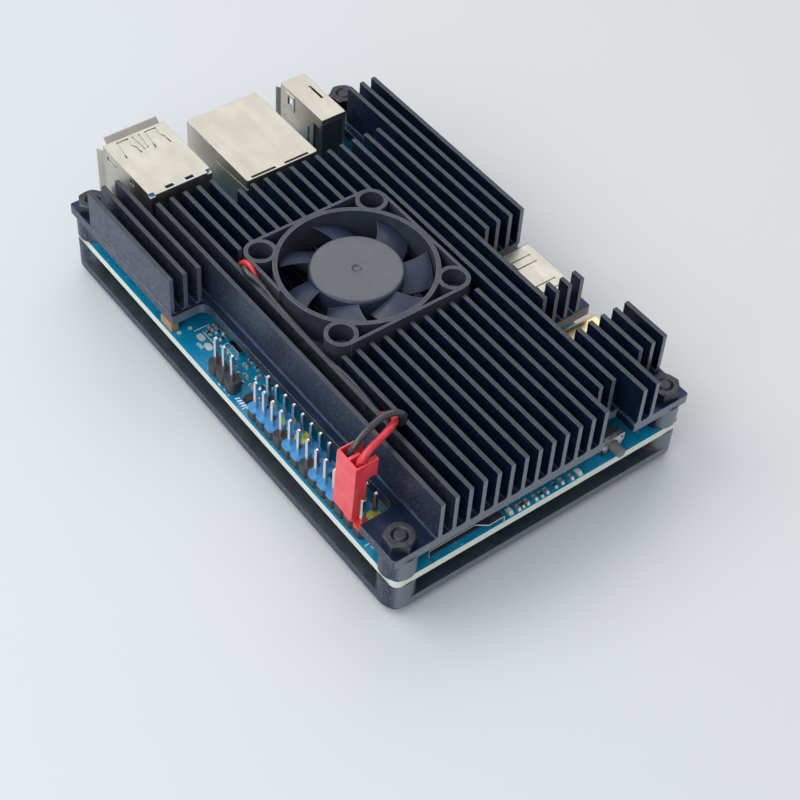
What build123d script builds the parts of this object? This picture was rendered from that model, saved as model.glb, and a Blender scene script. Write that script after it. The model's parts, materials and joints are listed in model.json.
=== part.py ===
from build123d import *
import math
import os

os.makedirs("parts", exist_ok=True)

# ---------------------------------------------------------------- dimensions
# Frame: mm, +Z up, Z = 0 is the plane the screw heads stand on, X = Y = 0 is
# the middle of the four-screw pattern. -X is the end with the network socket,
# -Y is the long edge with the pin header, +Y the long edge with the video port.

hole_x, hole_y = 47.0, 28.35        # half spacing of the four corner screws
head_h, head_r = 1.70, 2.40         # corner screw heads, the feet of the part
screw_r = 1.25                      # M2.5 shank
screw_top = 17.10
bp_t = 1.80                         # bottom plate thickness
bp_len, bp_wid = 100.5, 63.2
boss_r = 3.25
gap_low = 4.03                      # bottom plate to circuit board
pcb_len, pcb_wid, pcb_t, pcb_r = 100.0, 62.0, 1.60, 1.5
gap_up = 4.25                       # circuit board to heatsink plate
hs_len, hs_wid, hs_t = 100.0, 63.2, 1.90
fin_n, fin_pitch, fin_t, fin_h, fin_foot = 23, 2.836, 0.82, 8.20, 0.55
fin4_y = -22.59                     # centre line of the fourth fin
nut_af, nut_h = 5.0, 1.85

z_bp0 = head_h
z_bp1 = z_bp0 + bp_t
z_pcb0 = z_bp1 + gap_low
z_pcb1 = z_pcb0 + pcb_t
z_hs0 = z_pcb1 + gap_up
z_hs1 = z_hs0 + hs_t
z_fin = z_hs1 + fin_h

fan_x, fan_y = 0.15, -2.95          # fan axis
fan_w, fan_h, fan_hole = 30.0, 7.0, 12.0
z_fan0 = 17.73
z_fan1 = z_fan0 + fan_h
flange_t = 2.50
duct_r, duct_wall = 13.80, 0.85
hub_r, z_hub0, z_hub1 = 8.50, 20.05, 23.78
blade_n, blade_tip_r = 7, 13.45
shaft_r, sleeve_r = 0.75, 0.78

pin_pitch, pin_w = 2.54, 0.64
hdr_x13, hdr_y1, hdr_y2 = 38.47, -29.28, -26.74
hdr_h, pin_top = 2.54, 8.50
dbg_x1, dbg_y = -4.45, -29.15

corners = [(hole_x, hole_y), (-hole_x, hole_y), (-hole_x, -hole_y), (hole_x, -hole_y)]
fan_corners = [(fan_x + sx * fan_hole, fan_y + sy * fan_hole) for sx in (-1, 1) for sy in (-1, 1)]
hdr_xs = [hdr_x13 - pin_pitch * i for i in range(13)]          # index 0 is pin pair 13
hdr_pins = [(x, y) for x in hdr_xs for y in (hdr_y1, hdr_y2)]
dbg_pins = [(dbg_x1 + pin_pitch * i, dbg_y) for i in range(3)]


def fin_y(k):
    y = fin4_y + fin_pitch * (k - 4)
    edge = hs_wid / 2 - fin_t / 2
    return max(-edge, min(edge, y))


# connector envelopes: x0, x1, y0, y1, height above the board
stack = (-51.0, -34.4, -23.3, -10.3, 15.4)
ether = (-51.0, -30.4, -5.3, 10.3, 13.3)
upright = (-50.6, -36.8, 15.9, 21.3, 13.5)
video = (4.95, 19.95, 21.2, 32.7, 6.1)
power_port = (23.5, 32.4, 25.0, 32.9, 3.2)
card = (35.2, 50.2, -23.5, -8.8, 1.9)

# legs that pass through slots in the board: x, y, size x, size y
stack_legs = [(-47.6, -23.125, 2.0, 0.35), (-47.6, -10.475, 2.0, 0.35),
              (-38.2, -23.125, 2.0, 0.35), (-38.2, -10.475, 2.0, 0.35)]
ether_legs = [(-43.0, -5.15, 1.8, 0.30), (-43.0, 10.15, 1.8, 0.30)]
upright_legs = [(-46.5, 16.05, 1.8, 0.30), (-46.5, 21.15, 1.8, 0.30),
                (-40.5, 16.05, 1.6, 0.30), (-39.3, 21.15, 1.6, 0.30)]
video_legs = [(5.1, 29.0, 0.30, 1.8), (19.8, 29.0, 0.30, 1.8),
              (5.1, 23.2, 0.30, 1.6), (19.8, 23.2, 0.30, 1.6)]
power_legs = [(23.65, 30.2, 0.25, 1.2), (32.25, 30.2, 0.25, 1.2),
              (23.65, 26.6, 0.25, 1.0), (32.25, 26.6, 0.25, 1.0)]
all_legs = stack_legs + ether_legs + upright_legs + video_legs + power_legs

# ---------------------------------------------------------------- plates
with BuildPart() as bottom_plate:
    with BuildSketch(Plane.XY.offset(z_bp0)):
        RectangleRounded(bp_len, bp_wid, boss_r)
    extrude(amount=bp_t)
    with BuildSketch(Plane.XY.offset(z_bp1)):
        with Locations(*corners):
            Circle(boss_r)
    extrude(amount=gap_low)
    with BuildSketch(Plane.XY.offset(z_bp0)):
        with Locations(*corners):
            Circle(1.35)
    extrude(amount=bp_t + gap_low, mode=Mode.SUBTRACT)
bottom_plate.part.label = "bottom_plate"
export_step(bottom_plate.part, "parts/bottom_plate.step")

with BuildPart() as circuit_board:
    with BuildSketch(Plane.XY.offset(z_pcb0)):
        RectangleRounded(pcb_len, pcb_wid, pcb_r)
        with Locations(*corners):
            Circle(1.50, mode=Mode.SUBTRACT)
        with Locations(*hdr_pins, *dbg_pins):
            Circle(0.50, mode=Mode.SUBTRACT)
        for lx, ly, sx, sy in all_legs:
            with Locations((lx, ly)):
                Rectangle(sx + 0.30, sy + 0.30, mode=Mode.SUBTRACT)
    extrude(amount=pcb_t)
circuit_board.part.label = "circuit_board"
export_step(circuit_board.part, "parts/circuit_board.step")

# ---------------------------------------------------------------- heatsink
fin_runs = {}
for k in range(1, 24):
    if k <= 3:
        runs = [(-42.6, -15.3)]
    elif k <= 8:
        runs = [(-33.4, 50.0)]
    elif k <= 16:
        runs = [(-28.5, 50.0)]
    elif k <= 18:
        runs = [(-28.5, 45.3)]
    elif k == 19:
        runs = [(-28.5, 24.1), (32.6, 50.0)]
    elif k == 20:
        runs = [(-28.5, 4.6), (21.3, 24.1), (32.6, 50.0)]
    elif k <= 22:
        runs = [(-41.4, 4.3), (21.7, 24.1), (32.6, 42.6)]
    else:
        runs = [(-41.4, 4.3), (32.6, 42.6)]
    for r in runs:
        fin_runs.setdefault(r, []).append(k)

with BuildPart() as heatsink:
    with BuildSketch(Plane.XY.offset(z_hs0)) as hs_outline:
        Rectangle(hs_len, hs_wid)
        # clearance for the pin headers
        with Locations((13.1, -29.9)):
            Rectangle(55.4, 10.0, mode=Mode.SUBTRACT)
        # clearance for the sockets at the end
        with Locations((-43.5, -16.8)):
            Rectangle(20.0, 14.2, mode=Mode.SUBTRACT)
        with Locations((-43.8, 6.9)):
            Rectangle(30.2, 33.3, mode=Mode.SUBTRACT)
        # clearance for the video port and the power port
        with Locations((12.75, 26.3)):
            Rectangle(16.9, 11.4, mode=Mode.SUBTRACT)
        with Locations((28.4, 25.3)):
            Rectangle(8.2, 13.4, mode=Mode.SUBTRACT)
        # clearance for the push button
        with Locations((47.9, 15.8)):
            Rectangle(4.8, 6.6, mode=Mode.SUBTRACT)
        header_corners = hs_outline.vertices().filter_by(lambda v: abs(v.Y + 24.9) < 0.01)
        fillet(header_corners, radius=1.5)
        fillet(hs_outline.vertices().filter_by(lambda v: abs(v.Y + 24.9) > 0.01 and v.Y > -26.0 or abs(v.X) > 49.9), radius=0.5)
    extrude(amount=hs_t)
    # corner bosses and the pedestal over the processor and memory
    with BuildSketch(Plane.XY.offset(z_pcb1)):
        with Locations(*corners):
            Circle(boss_r)
    extrude(amount=gap_up + 0.2)
    with BuildSketch(Plane.XY.offset(z_pcb1 + 1.8)):
        with Locations((5.5, -3.0)):
            RectangleRounded(33.0, 30.0, 1.0)
    extrude(amount=gap_up - 1.8 + 0.2)
    # fins, each with a small radius at its foot
    for (fx0, fx1), ks in fin_runs.items():
        with BuildSketch(Plane.YZ.offset(fx0)):
            for k in ks:
                yc = fin_y(k)
                a, b = yc - fin_t / 2, yc + fin_t / 2
                z0, z1, f = z_hs1, z_hs1 + fin_h, fin_foot
                with BuildLine():
                    if k == 1:
                        Polyline((b + f, z0), (b + f, z0 - 0.3), (a, z0 - 0.3), (a, z1), (b, z1), (b, z0 + f))
                        ThreePointArc((b, z0 + f), (b + f * 0.2929, z0 + f * 0.2929), (b + f, z0))
                    elif k == 23:
                        Polyline((a, z0 + f), (a, z1), (b, z1), (b, z0 - 0.3), (a - f, z0 - 0.3), (a - f, z0))
                        ThreePointArc((a - f, z0), (a - f * 0.2929, z0 + f * 0.2929), (a, z0 + f))
                    else:
                        Polyline((a, z0 + f), (a, z1), (b, z1), (b, z0 + f))
                        ThreePointArc((b, z0 + f), (b + f * 0.2929, z0 + f * 0.2929), (b + f, z0))
                        Polyline((b + f, z0), (b + f, z0 - 0.3), (a - f, z0 - 0.3), (a - f, z0))
                        ThreePointArc((a - f, z0), (a - f * 0.2929, z0 + f * 0.2929), (a, z0 + f))
                make_face()
        extrude(amount=fx1 - fx0)
    # seat for the fan: fins cut down, four posts under its corners
    with BuildSketch(Plane.XY.offset(z_fan0)):
        with Locations((fan_x, fan_y)):
            Rectangle(fan_w + 0.7, fan_w + 0.24)
    extrude(amount=z_fin - z_fan0 + 1.0, mode=Mode.SUBTRACT)
    with BuildSketch(Plane.XY.offset(z_hs1 - 0.2)):
        with Locations(*fan_corners):
            Circle(2.3)
    extrude(amount=z_fan0 - z_hs1 + 0.2)
    with BuildSketch(Plane.XY.offset(z_hs0 + 0.6)):
        with Locations(*fan_corners):
            Circle(1.0)
    extrude(amount=z_fan0 - z_hs0, mode=Mode.SUBTRACT)
    with BuildSketch(Plane.XY.offset(z_pcb1)):
        with Locations(*corners):
            Circle(1.35)
    extrude(amount=gap_up + hs_t + 1.0, mode=Mode.SUBTRACT)
heatsink.part.label = "heatsink"
export_step(heatsink.part, "parts/heatsink.step")

# ---------------------------------------------------------------- fasteners
with BuildPart() as corner_screws:
    with BuildSketch(Plane.XY):
        with Locations(*corners):
            Circle(head_r)
    extrude(amount=head_h)
    fillet(corner_screws.edges().filter_by(GeomType.CIRCLE).group_by(Axis.Z)[0], radius=0.45)
    with BuildSketch(Plane.XY.offset(head_h)):
        with Locations(*corners):
            Circle(screw_r)
    extrude(amount=screw_top - head_h)
    chamfer(corner_screws.edges().filter_by(GeomType.CIRCLE).group_by(Axis.Z)[-1], length=0.3)
    with BuildSketch(Plane.XY):
        with Locations(*corners):
            Rectangle(2.6, 0.55)
            Rectangle(0.55, 2.6)
    extrude(amount=0.9, mode=Mode.SUBTRACT)
corner_screws.part.label = "corner_screws"
export_step(corner_screws.part, "parts/corner_screws.step")

nut_turn = [20.0, 8.0, 33.0, -5.0]
with BuildPart() as corner_nuts:
    for (cx, cy), turn in zip(corners, nut_turn):
        with BuildSketch(Plane.XY.offset(z_hs1)):
            with Locations(Location((cx, cy, 0), (0, 0, turn))):
                RegularPolygon(nut_af / 2, 6, major_radius=False)
        extrude(amount=nut_h)
    # the hexagon corners are turned down to a cone at the top face
    with BuildPart(mode=Mode.PRIVATE) as nut_turned:
        with BuildSketch(Plane.XY.offset(z_hs1)):
            with Locations(*corners):
                Circle(3.05)
        extrude(amount=nut_h)
        chamfer(nut_turned.edges().filter_by(GeomType.CIRCLE).group_by(Axis.Z)[-1], length=0.35, length2=0.6)
    add(nut_turned.part, mode=Mode.INTERSECT)
    with BuildSketch(Plane.XY.offset(z_hs1)):
        with Locations(*corners):
            Circle(screw_r + 0.02)
    extrude(amount=nut_h, mode=Mode.SUBTRACT)
    chamfer(
        corner_nuts.edges().filter_by(GeomType.CIRCLE).filter_by(lambda e: e.radius < 1.4).group_by(Axis.Z)[-1],
        length=0.3,
    )
corner_nuts.part.label = "corner_nuts"
export_step(corner_nuts.part, "parts/corner_nuts.step")

fan_screw_seat = z_fan0 + flange_t
with BuildPart() as fan_screws:
    with BuildSketch(Plane.XY.offset(fan_screw_seat)):
        with Locations(*fan_corners):
            Circle(1.95)
    extrude(amount=1.35)
    fillet(fan_screws.edges().filter_by(GeomType.CIRCLE).group_by(Axis.Z)[-1], radius=0.5)
    with BuildSketch(Plane.XY.offset(fan_screw_seat)):
        with Locations(*fan_corners):
            Circle(0.98)
    extrude(amount=-(fan_screw_seat - z_hs0 - 0.9))
    with BuildSketch(Plane.XY.offset(fan_screw_seat + 1.35)):
        with Locations(*fan_corners):
            Rectangle(2.1, 0.45, rotation=30)
            Rectangle(0.45, 2.1, rotation=30)
    extrude(amount=-0.8, mode=Mode.SUBTRACT)
fan_screws.part.label = "fan_screws"
export_step(fan_screws.part, "parts/fan_screws.step")

# ---------------------------------------------------------------- fan
ring_r = duct_r + duct_wall
col_r = fan_w / 2 - fan_hole - 0.05
base_t = 0.90
with BuildPart() as fan_frame:
    # lower flange with rounded corners
    with BuildSketch(Plane.XY.offset(z_fan0)):
        with Locations((fan_x, fan_y)):
            RectangleRounded(fan_w, fan_w, 2.95)
            Circle(duct_r, mode=Mode.SUBTRACT)
    extrude(amount=base_t)
    # duct ring and corner columns to full height
    with BuildSketch(Plane.XY.offset(z_fan0)):
        with Locations((fan_x, fan_y)):
            Circle(ring_r)
        with Locations(*fan_corners):
            Circle(col_r)
        with Locations((fan_x, fan_y)):
            Circle(duct_r, mode=Mode.SUBTRACT)
    extrude(amount=fan_h)
    # thin outer walls that close the triangular pockets
    with BuildSketch(Plane.XY.offset(z_fan0)):
        with Locations((fan_x, fan_y + fan_w / 2 - 0.275)):
            Rectangle(24.0, 0.55)
        with Locations((fan_x - fan_w / 2 + 0.275, fan_y), (fan_x + fan_w / 2 - 0.275, fan_y)):
            Rectangle(0.55, 24.0)
        with Locations((fan_x - 7.0, fan_y - fan_w / 2 + 0.275)):
            Rectangle(10.0, 0.55)
        with Locations((fan_x, fan_y)):
            Circle(duct_r, mode=Mode.SUBTRACT)
    extrude(amount=fan_h)
    # deep screw wells, clearance holes through the flange
    with BuildSketch(Plane.XY.offset(z_fan0 + flange_t)):
        with Locations(*fan_corners):
            Circle(2.2)
    extrude(amount=fan_h, mode=Mode.SUBTRACT)
    with BuildSketch(Plane.XY.offset(z_fan0)):
        with Locations(*fan_corners):
            Circle(1.15)
    extrude(amount=flange_t, mode=Mode.SUBTRACT)
    # motor mount: base disc, four struts, bearing tube
    with BuildSketch(Plane.XY.offset(z_fan0)):
        with Locations((fan_x, fan_y)):
            Circle(8.4)
        for a in (20.0, 110.0, 200.0, 290.0):
            with Locations((fan_x + 11.0 * math.cos(math.radians(a)), fan_y + 11.0 * math.sin(math.radians(a)))):
                Rectangle(6.4, 2.0, rotation=a)
    extrude(amount=0.85)
    with BuildSketch(Plane.XY.offset(z_fan0)):
        with Locations((fan_x, fan_y)):
            Circle(2.45)
    extrude(amount=22.30 - z_fan0)
    with BuildSketch(Plane.XY.offset(z_fan0 + 0.40)):
        with Locations((fan_x, fan_y)):
            Circle(1.62)
    extrude(amount=5.0, mode=Mode.SUBTRACT)
    # slot in the lower flange where the two leads leave
    with BuildSketch(Plane.XY.offset(z_fan0)):
        with Locations((fan_x - 6.55, fan_y - 13.35)):
            Rectangle(5.9, 4.6)
    extrude(amount=2.35, mode=Mode.SUBTRACT)
fan_frame.part.label = "fan_frame"
export_step(fan_frame.part, "parts/fan_frame.step")

with BuildPart() as fan_bearing:
    with BuildSketch(Plane.XY.offset(z_fan0 + 0.40)):
        with Locations((fan_x, fan_y)):
            Circle(1.62)
            Circle(sleeve_r, mode=Mode.SUBTRACT)
    extrude(amount=4.05)
fan_bearing.part.label = "fan_bearing"
export_step(fan_bearing.part, "parts/fan_bearing.step")

z_shaft0, z_shaft1 = z_fan0 + 0.50, z_hub1 - 0.80
with BuildPart() as fan_shaft:
    with BuildSketch(Plane.XY.offset(z_shaft0)):
        with Locations((fan_x, fan_y)):
            Circle(shaft_r)
    extrude(amount=z_shaft1 - z_shaft0)
    chamfer(fan_shaft.edges().filter_by(GeomType.CIRCLE).group_by(Axis.Z)[0], length=0.15)
fan_shaft.part.label = "fan_shaft"
export_step(fan_shaft.part, "parts/fan_shaft.step")


def polar(r, deg, cx=fan_x, cy=fan_y):
    return (cx + r * math.cos(math.radians(deg)), cy + r * math.sin(math.radians(deg)))


# blade outline in plan: swept leading edge, wide root, narrower tip
lead_root, lead_tip, trail_root, trail_tip = 172.0, 180.4, 129.0, 149.0
z_blade0, z_blade1, blade_t = 20.35, 23.35, 0.62
with BuildPart() as fan_rotor:
    with BuildSketch(Plane.XY.offset(z_hub0)):
        with Locations((fan_x, fan_y)):
            Circle(hub_r)
    extrude(amount=z_hub1 - z_hub0)
    fillet(fan_rotor.edges().filter_by(GeomType.CIRCLE).group_by(Axis.Z)[-1], radius=0.45)
    with BuildSketch(Plane.XY.offset(z_hub0)):
        with Locations((fan_x, fan_y)):
            Circle(7.65)
    extrude(amount=z_hub1 - z_hub0 - 0.80, mode=Mode.SUBTRACT)
    with BuildSketch(Plane.XY.offset(z_hub1)):
        with Locations((fan_x, fan_y)):
            Circle(0.85)
    extrude(amount=-0.25, mode=Mode.SUBTRACT)
    for i in range(blade_n):
        turn = -360.0 / blade_n * i
        with BuildPart(mode=Mode.PRIVATE) as blade:
            with BuildSketch(Plane.XY.offset(z_blade0)):
                with BuildLine():
                    r0, r1 = hub_r - 0.35, blade_tip_r
                    rm = (r0 + r1) / 2
                    ThreePointArc(polar(r0, lead_root + turn), polar(rm, (lead_root * 0.72 + lead_tip * 0.28) + turn), polar(r1, lead_tip + turn))
                    ThreePointArc(polar(r1, lead_tip + turn), polar(r1, (lead_tip + trail_tip) / 2 + turn), polar(r1, trail_tip + turn))
                    ThreePointArc(polar(r1, trail_tip + turn), polar(rm, (trail_root * 0.42 + trail_tip * 0.58) + turn), polar(r0, trail_root + turn))
                    ThreePointArc(polar(r0, trail_root + turn), polar(r0, (lead_root + trail_root) / 2 + turn), polar(r0, lead_root + turn))
                make_face()
            extrude(amount=z_blade1 - z_blade0)
            # pitched slab through the mid line of the blade
            mid = (lead_root + trail_root + lead_tip + trail_tip) / 4 + turn
            slab = Plane(
                origin=(*polar(11.0, mid), (z_blade0 + z_blade1) / 2),
                x_dir=(math.cos(math.radians(mid)), math.sin(math.radians(mid)), 0),
                z_dir=(
                    math.sin(math.radians(22.0)) * math.sin(math.radians(mid)),
                    -math.sin(math.radians(22.0)) * math.cos(math.radians(mid)),
                    math.cos(math.radians(22.0)),
                ),
            )
            with BuildPart(mode=Mode.PRIVATE) as pitched:
                with BuildSketch(slab.offset(-blade_t / 2)):
                    Rectangle(14.0, 16.0)
                extrude(amount=blade_t)
            add(pitched.part, mode=Mode.INTERSECT)
        add(blade.part)
fan_rotor.part.label = "fan_rotor"
export_step(fan_rotor.part, "parts/fan_rotor.step")

with BuildPart() as fan_magnet:
    with BuildSketch(Plane.XY.offset(z_hub0 + 0.15)):
        with Locations((fan_x, fan_y)):
            Circle(7.65)
            Circle(6.80, mode=Mode.SUBTRACT)
    extrude(amount=2.6)
fan_magnet.part.label = "fan_magnet"
export_step(fan_magnet.part, "parts/fan_magnet.step")

with BuildPart() as fan_stator_core:
    with BuildSketch(Plane.XY.offset(20.30)):
        with Locations((fan_x, fan_y)):
            Circle(3.3)
        for a in (0.0, 90.0, 180.0, 270.0):
            with Locations(polar(4.6, a)):
                Rectangle(3.4, 1.3, rotation=a)
        with Locations((fan_x, fan_y)):
            Circle(2.45, mode=Mode.SUBTRACT)
    extrude(amount=1.6)
    with BuildSketch(Plane.XY.offset(20.30)):
        with Locations((fan_x, fan_y)):
            Circle(6.45)
            Circle(5.75, mode=Mode.SUBTRACT)
        for a in (45.0, 135.0, 225.0, 315.0):
            with Locations(polar(6.1, a)):
                Rectangle(2.0, 1.4, rotation=a, mode=Mode.SUBTRACT)
    extrude(amount=1.6)
fan_stator_core.part.label = "fan_stator_core"
export_step(fan_stator_core.part, "parts/fan_stator_core.step")

with BuildPart() as fan_stator_coils:
    for a in (0.0, 90.0, 180.0, 270.0):
        with BuildSketch(Plane.XY.offset(20.10)):
            with Locations(polar(4.53, a)):
                RectangleRounded(2.2, 2.5, 0.3, rotation=a)
        extrude(amount=2.0)
    with BuildSketch(Plane.XY.offset(20.30)):
        for a in (0.0, 90.0, 180.0, 270.0):
            with Locations(polar(4.53, a)):
                Rectangle(3.6, 1.3, rotation=a)
    extrude(amount=1.6, mode=Mode.SUBTRACT)
fan_stator_coils.part.label = "fan_stator_coils"
export_step(fan_stator_coils.part, "parts/fan_stator_coils.step")

with BuildPart() as fan_circuit_board:
    with BuildSketch(Plane.XY.offset(z_fan0 + 0.85)):
        with Locations((fan_x, fan_y)):
            Circle(7.6)
            Circle(2.45, mode=Mode.SUBTRACT)
    extrude(amount=0.8)
    with BuildSketch(Plane.XY.offset(z_fan0 + 1.65)):
        with Locations(polar(6.0, 60.0)):
            Rectangle(1.6, 1.1)
    extrude(amount=0.5)
fan_circuit_board.part.label = "fan_circuit_board"
export_step(fan_circuit_board.part, "parts/fan_circuit_board.step")

# ---------------------------------------------------------------- fan leads
wire_r = 0.45
tilt = 2.6                                     # lean of the plug towards +X
plug_x, plug_y, plug_z = hdr_x13 - 1.5 * pin_pitch, hdr_y1, z_pcb1 + hdr_h
plug_len = 13.5


def plug_pt(dx, dz, y):
    c, s = math.cos(math.radians(tilt)), math.sin(math.radians(tilt))
    return (plug_x + dx * c + dz * s, y, plug_z - dx * s + dz * c)


ch_y = -18.64                                  # middle of the channel beside the fan
red_pts = [
    (*polar(8.0, 243.0), 19.12), (*polar(10.6, 243.5), 18.80), (-5.9, -15.2, 18.30), (-7.4, -17.30, 18.26),
    (-9.6, -18.62, 18.30), (-11.7, ch_y, 19.10), (-12.75, ch_y, 20.90), (-12.55, ch_y, 22.90), (-11.60, -18.50, 24.30),
    (-10.1, -18.46, 24.72), (-8.7, -18.44, 23.98), (-7.4, -18.50, 22.75), (-4.8, ch_y, 21.55), (1.0, ch_y, 20.75), (9.0, ch_y, 20.50),
    (14.6, ch_y, 20.50), (17.9, -17.88, 20.60), (21.5, -17.86, 20.95), (25.0, -18.05, 21.50), (27.4, -18.40, 22.25), (29.17, -18.50, 23.30),
    (30.8, -18.35, 24.55), (32.4, -18.70, 25.50), (33.85, -20.10, 26.10), (35.15, -22.60, 26.70), (36.05, -25.00, 26.90),
    (36.55, -27.10, 26.60), (36.75, -28.60, 25.60), plug_pt(1.27, 12.2, -29.25), plug_pt(1.27, 9.2, -29.28),
]
black_pts = [
    (*polar(8.0, 258.0), 19.15), (*polar(10.6, 254.5), 19.22), (-5.3, -15.35, 19.42), (-6.9, -17.35, 19.46),
    (-8.9, -18.60, 19.48), (-10.5, ch_y, 20.20), (-11.50, ch_y, 21.60), (-11.45, -18.78, 22.80), (-10.85, -19.00, 23.84),
    (-9.7, -19.44, 24.22), (-8.0, -19.42, 24.10), (-6.5, -19.02, 23.86), (-5.0, -18.80, 23.30), (-2.0, -18.70, 22.55), (3.0, ch_y, 22.00), (8.0, ch_y, 21.70),
    (14.0, ch_y, 21.55), (17.5, -18.82, 21.30), (21.0, -18.85, 20.75), (24.5, -18.84, 20.20), (27.8, -18.80, 20.10), (30.3, -18.60, 21.10),
    (32.3, -18.25, 22.90), (33.55, -18.05, 24.80), (33.75, -18.50, 26.50), (33.40, -20.05, 27.60), (33.25, -22.50, 27.80),
    (33.60, -24.90, 27.50), (34.0, -27.00, 26.85), (34.22, -28.60, 25.70), plug_pt(-1.27, 12.2, -29.25), plug_pt(-1.27, 9.2, -29.28),
]
for label, pts in (("fan_wire_red", red_pts), ("fan_wire_black", black_pts)):
    with BuildPart() as fan_wire:
        with BuildLine() as lead:
            Spline(*pts)
        with BuildSketch(Plane(origin=lead.line @ 0, z_dir=lead.line % 0)):
            Circle(wire_r)
        sweep(path=lead.line)
    fan_wire.part.label = label
    export_step(fan_wire.part, "parts/" + label + ".step")

# ---------------------------------------------------------------- fan plug
plug_plane = Plane(
    origin=(plug_x, plug_y, plug_z),
    x_dir=(math.cos(math.radians(tilt)), 0, -math.sin(math.radians(tilt))),
    z_dir=(math.sin(math.radians(tilt)), 0, math.cos(math.radians(tilt))),
)
with BuildPart() as fan_plug:
    with BuildSketch(plug_plane.offset(0.16)):
        Rectangle(5.08, 2.54)
    extrude(amount=plug_len - 0.16)
    # side ribs and a lip on the inner face near the wire end
    with BuildSketch(plug_plane.offset(9.6)):
        with Locations((-2.09, 2.15), (2.09, 2.15)):
            Rectangle(0.9, 2.0)
    extrude(amount=plug_len - 9.6)
    with BuildSketch(plug_plane.offset(10.8)):
        with Locations((0, 1.50)):
            Rectangle(5.08, 0.7)
    extrude(amount=1.2)
    # pin cavities, wider where the crimped leads enter
    with BuildSketch(plug_plane.offset(-0.5)):
        with Locations((-1.27, 0), (1.27, 0)):
            Rectangle(1.75, 1.75)
    extrude(amount=plug_len + 2.0, mode=Mode.SUBTRACT)
    with BuildSketch(plug_plane.offset(10.2)):
        with Locations((-1.27, 0.25), (1.27, 0.25)):
            Rectangle(2.0, 2.2)
    extrude(amount=8.0, mode=Mode.SUBTRACT)
fan_plug.part.label = "fan_plug"
export_step(fan_plug.part, "parts/fan_plug.step")

with BuildPart() as fan_plug_contacts:
    with BuildSketch(plug_plane.offset(0.6)):
        with Locations((-1.27, 0), (1.27, 0)):
            Rectangle(1.70, 1.70)
            Rectangle(1.40, 1.40, mode=Mode.SUBTRACT)
    extrude(amount=6.0)
    with BuildSketch(plug_plane.offset(6.6)):
        with Locations((-1.27, 0), (1.27, 0)):
            Rectangle(1.70, 1.70)
            Circle(0.50, mode=Mode.SUBTRACT)
    extrude(amount=2.4)
fan_plug_contacts.part.label = "fan_plug_contacts"
export_step(fan_plug_contacts.part, "parts/fan_plug_contacts.step")

# ---------------------------------------------------------------- pin headers
with BuildPart() as gpio_header_base:
    for x in hdr_xs:
        with BuildSketch(Plane.XY.offset(z_pcb1)):
            with Locations((x, (hdr_y1 + hdr_y2) / 2)):
                Rectangle(pin_pitch, 2 * pin_pitch)
        extrude(amount=hdr_h - 0.55)
    # V notches between neighbouring positions
    with BuildSketch(Plane.XY.offset(z_pcb1)):
        for i in range(14):
            xn = hdr_x13 + pin_pitch / 2 - pin_pitch * i
            with Locations((xn, hdr_y1 - pin_pitch / 2), (xn, hdr_y2 + pin_pitch / 2)):
                Rectangle(0.75, 0.75, rotation=45, mode=Mode.ADD)
    extrude(amount=hdr_h, mode=Mode.SUBTRACT)
    with BuildSketch(Plane.XY.offset(z_pcb1)):
        with Locations(*hdr_pins):
            Rectangle(pin_w + 0.02, pin_w + 0.02)
    extrude(amount=hdr_h, mode=Mode.SUBTRACT)
gpio_header_base.part.label = "gpio_header_base"
export_step(gpio_header_base.part, "parts/gpio_header_base.step")

# coloured octagonal caps, listed from pair 13 (index 0) to pair 1 (index 12)
outer_row = ["red", "red", "black", "blue", "blue", "blue", "black", "blue", "blue", "black", "blue", "blue", "blue"]
inner_row = ["yellow", "blue", "blue", "blue", "black", "blue", "blue", "blue", "yellow", "blue", "blue", "blue", "black"]
for shade in ("blue", "yellow", "red", "black"):
    spots = [(x, hdr_y1) for x, c in zip(hdr_xs, outer_row) if c == shade]
    spots += [(x, hdr_y2) for x, c in zip(hdr_xs, inner_row) if c == shade]
    with BuildPart() as gpio_caps:
        with BuildSketch(Plane.XY.offset(z_pcb1 + hdr_h - 0.55)):
            with Locations(*spots):
                Rectangle(2.50, 2.50)
            with Locations(*[(x + sx * 1.25, y + sy * 1.25) for x, y in spots for sx in (-1, 1) for sy in (-1, 1)]):
                Rectangle(0.75, 0.75, rotation=45, mode=Mode.SUBTRACT)
            with Locations(*spots):
                Rectangle(pin_w + 0.02, pin_w + 0.02, mode=Mode.SUBTRACT)
        extrude(amount=0.55)
    gpio_caps.part.label = "gpio_caps_" + shade
    export_step(gpio_caps.part, "parts/gpio_caps_" + shade + ".step")

with BuildPart() as gpio_header_pins:
    with BuildSketch(Plane.XY.offset(z_pcb0 - 1.4)):
        with Locations(*hdr_pins):
            Rectangle(pin_w, pin_w)
    extrude(amount=pcb_t + 1.4 + pin_top)
    chamfer(gpio_header_pins.edges().filter_by(Plane.XY).group_by(Axis.Z)[-1], length=0.16)
gpio_header_pins.part.label = "gpio_header_pins"
export_step(gpio_header_pins.part, "parts/gpio_header_pins.step")

with BuildPart() as debug_header_base:
    with BuildSketch(Plane.XY.offset(z_pcb1)):
        with Locations((dbg_x1 + pin_pitch, dbg_y)):
            Rectangle(3 * pin_pitch, pin_pitch)
        for i in range(4):
            xn = dbg_x1 - pin_pitch / 2 + pin_pitch * i
            with Locations((xn, dbg_y - pin_pitch / 2), (xn, dbg_y + pin_pitch / 2)):
                Rectangle(0.75, 0.75, rotation=45, mode=Mode.SUBTRACT)
        with Locations(*dbg_pins):
            Rectangle(pin_w + 0.02, pin_w + 0.02, mode=Mode.SUBTRACT)
    extrude(amount=hdr_h)
debug_header_base.part.label = "debug_header_base"
export_step(debug_header_base.part, "parts/debug_header_base.step")

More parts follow.
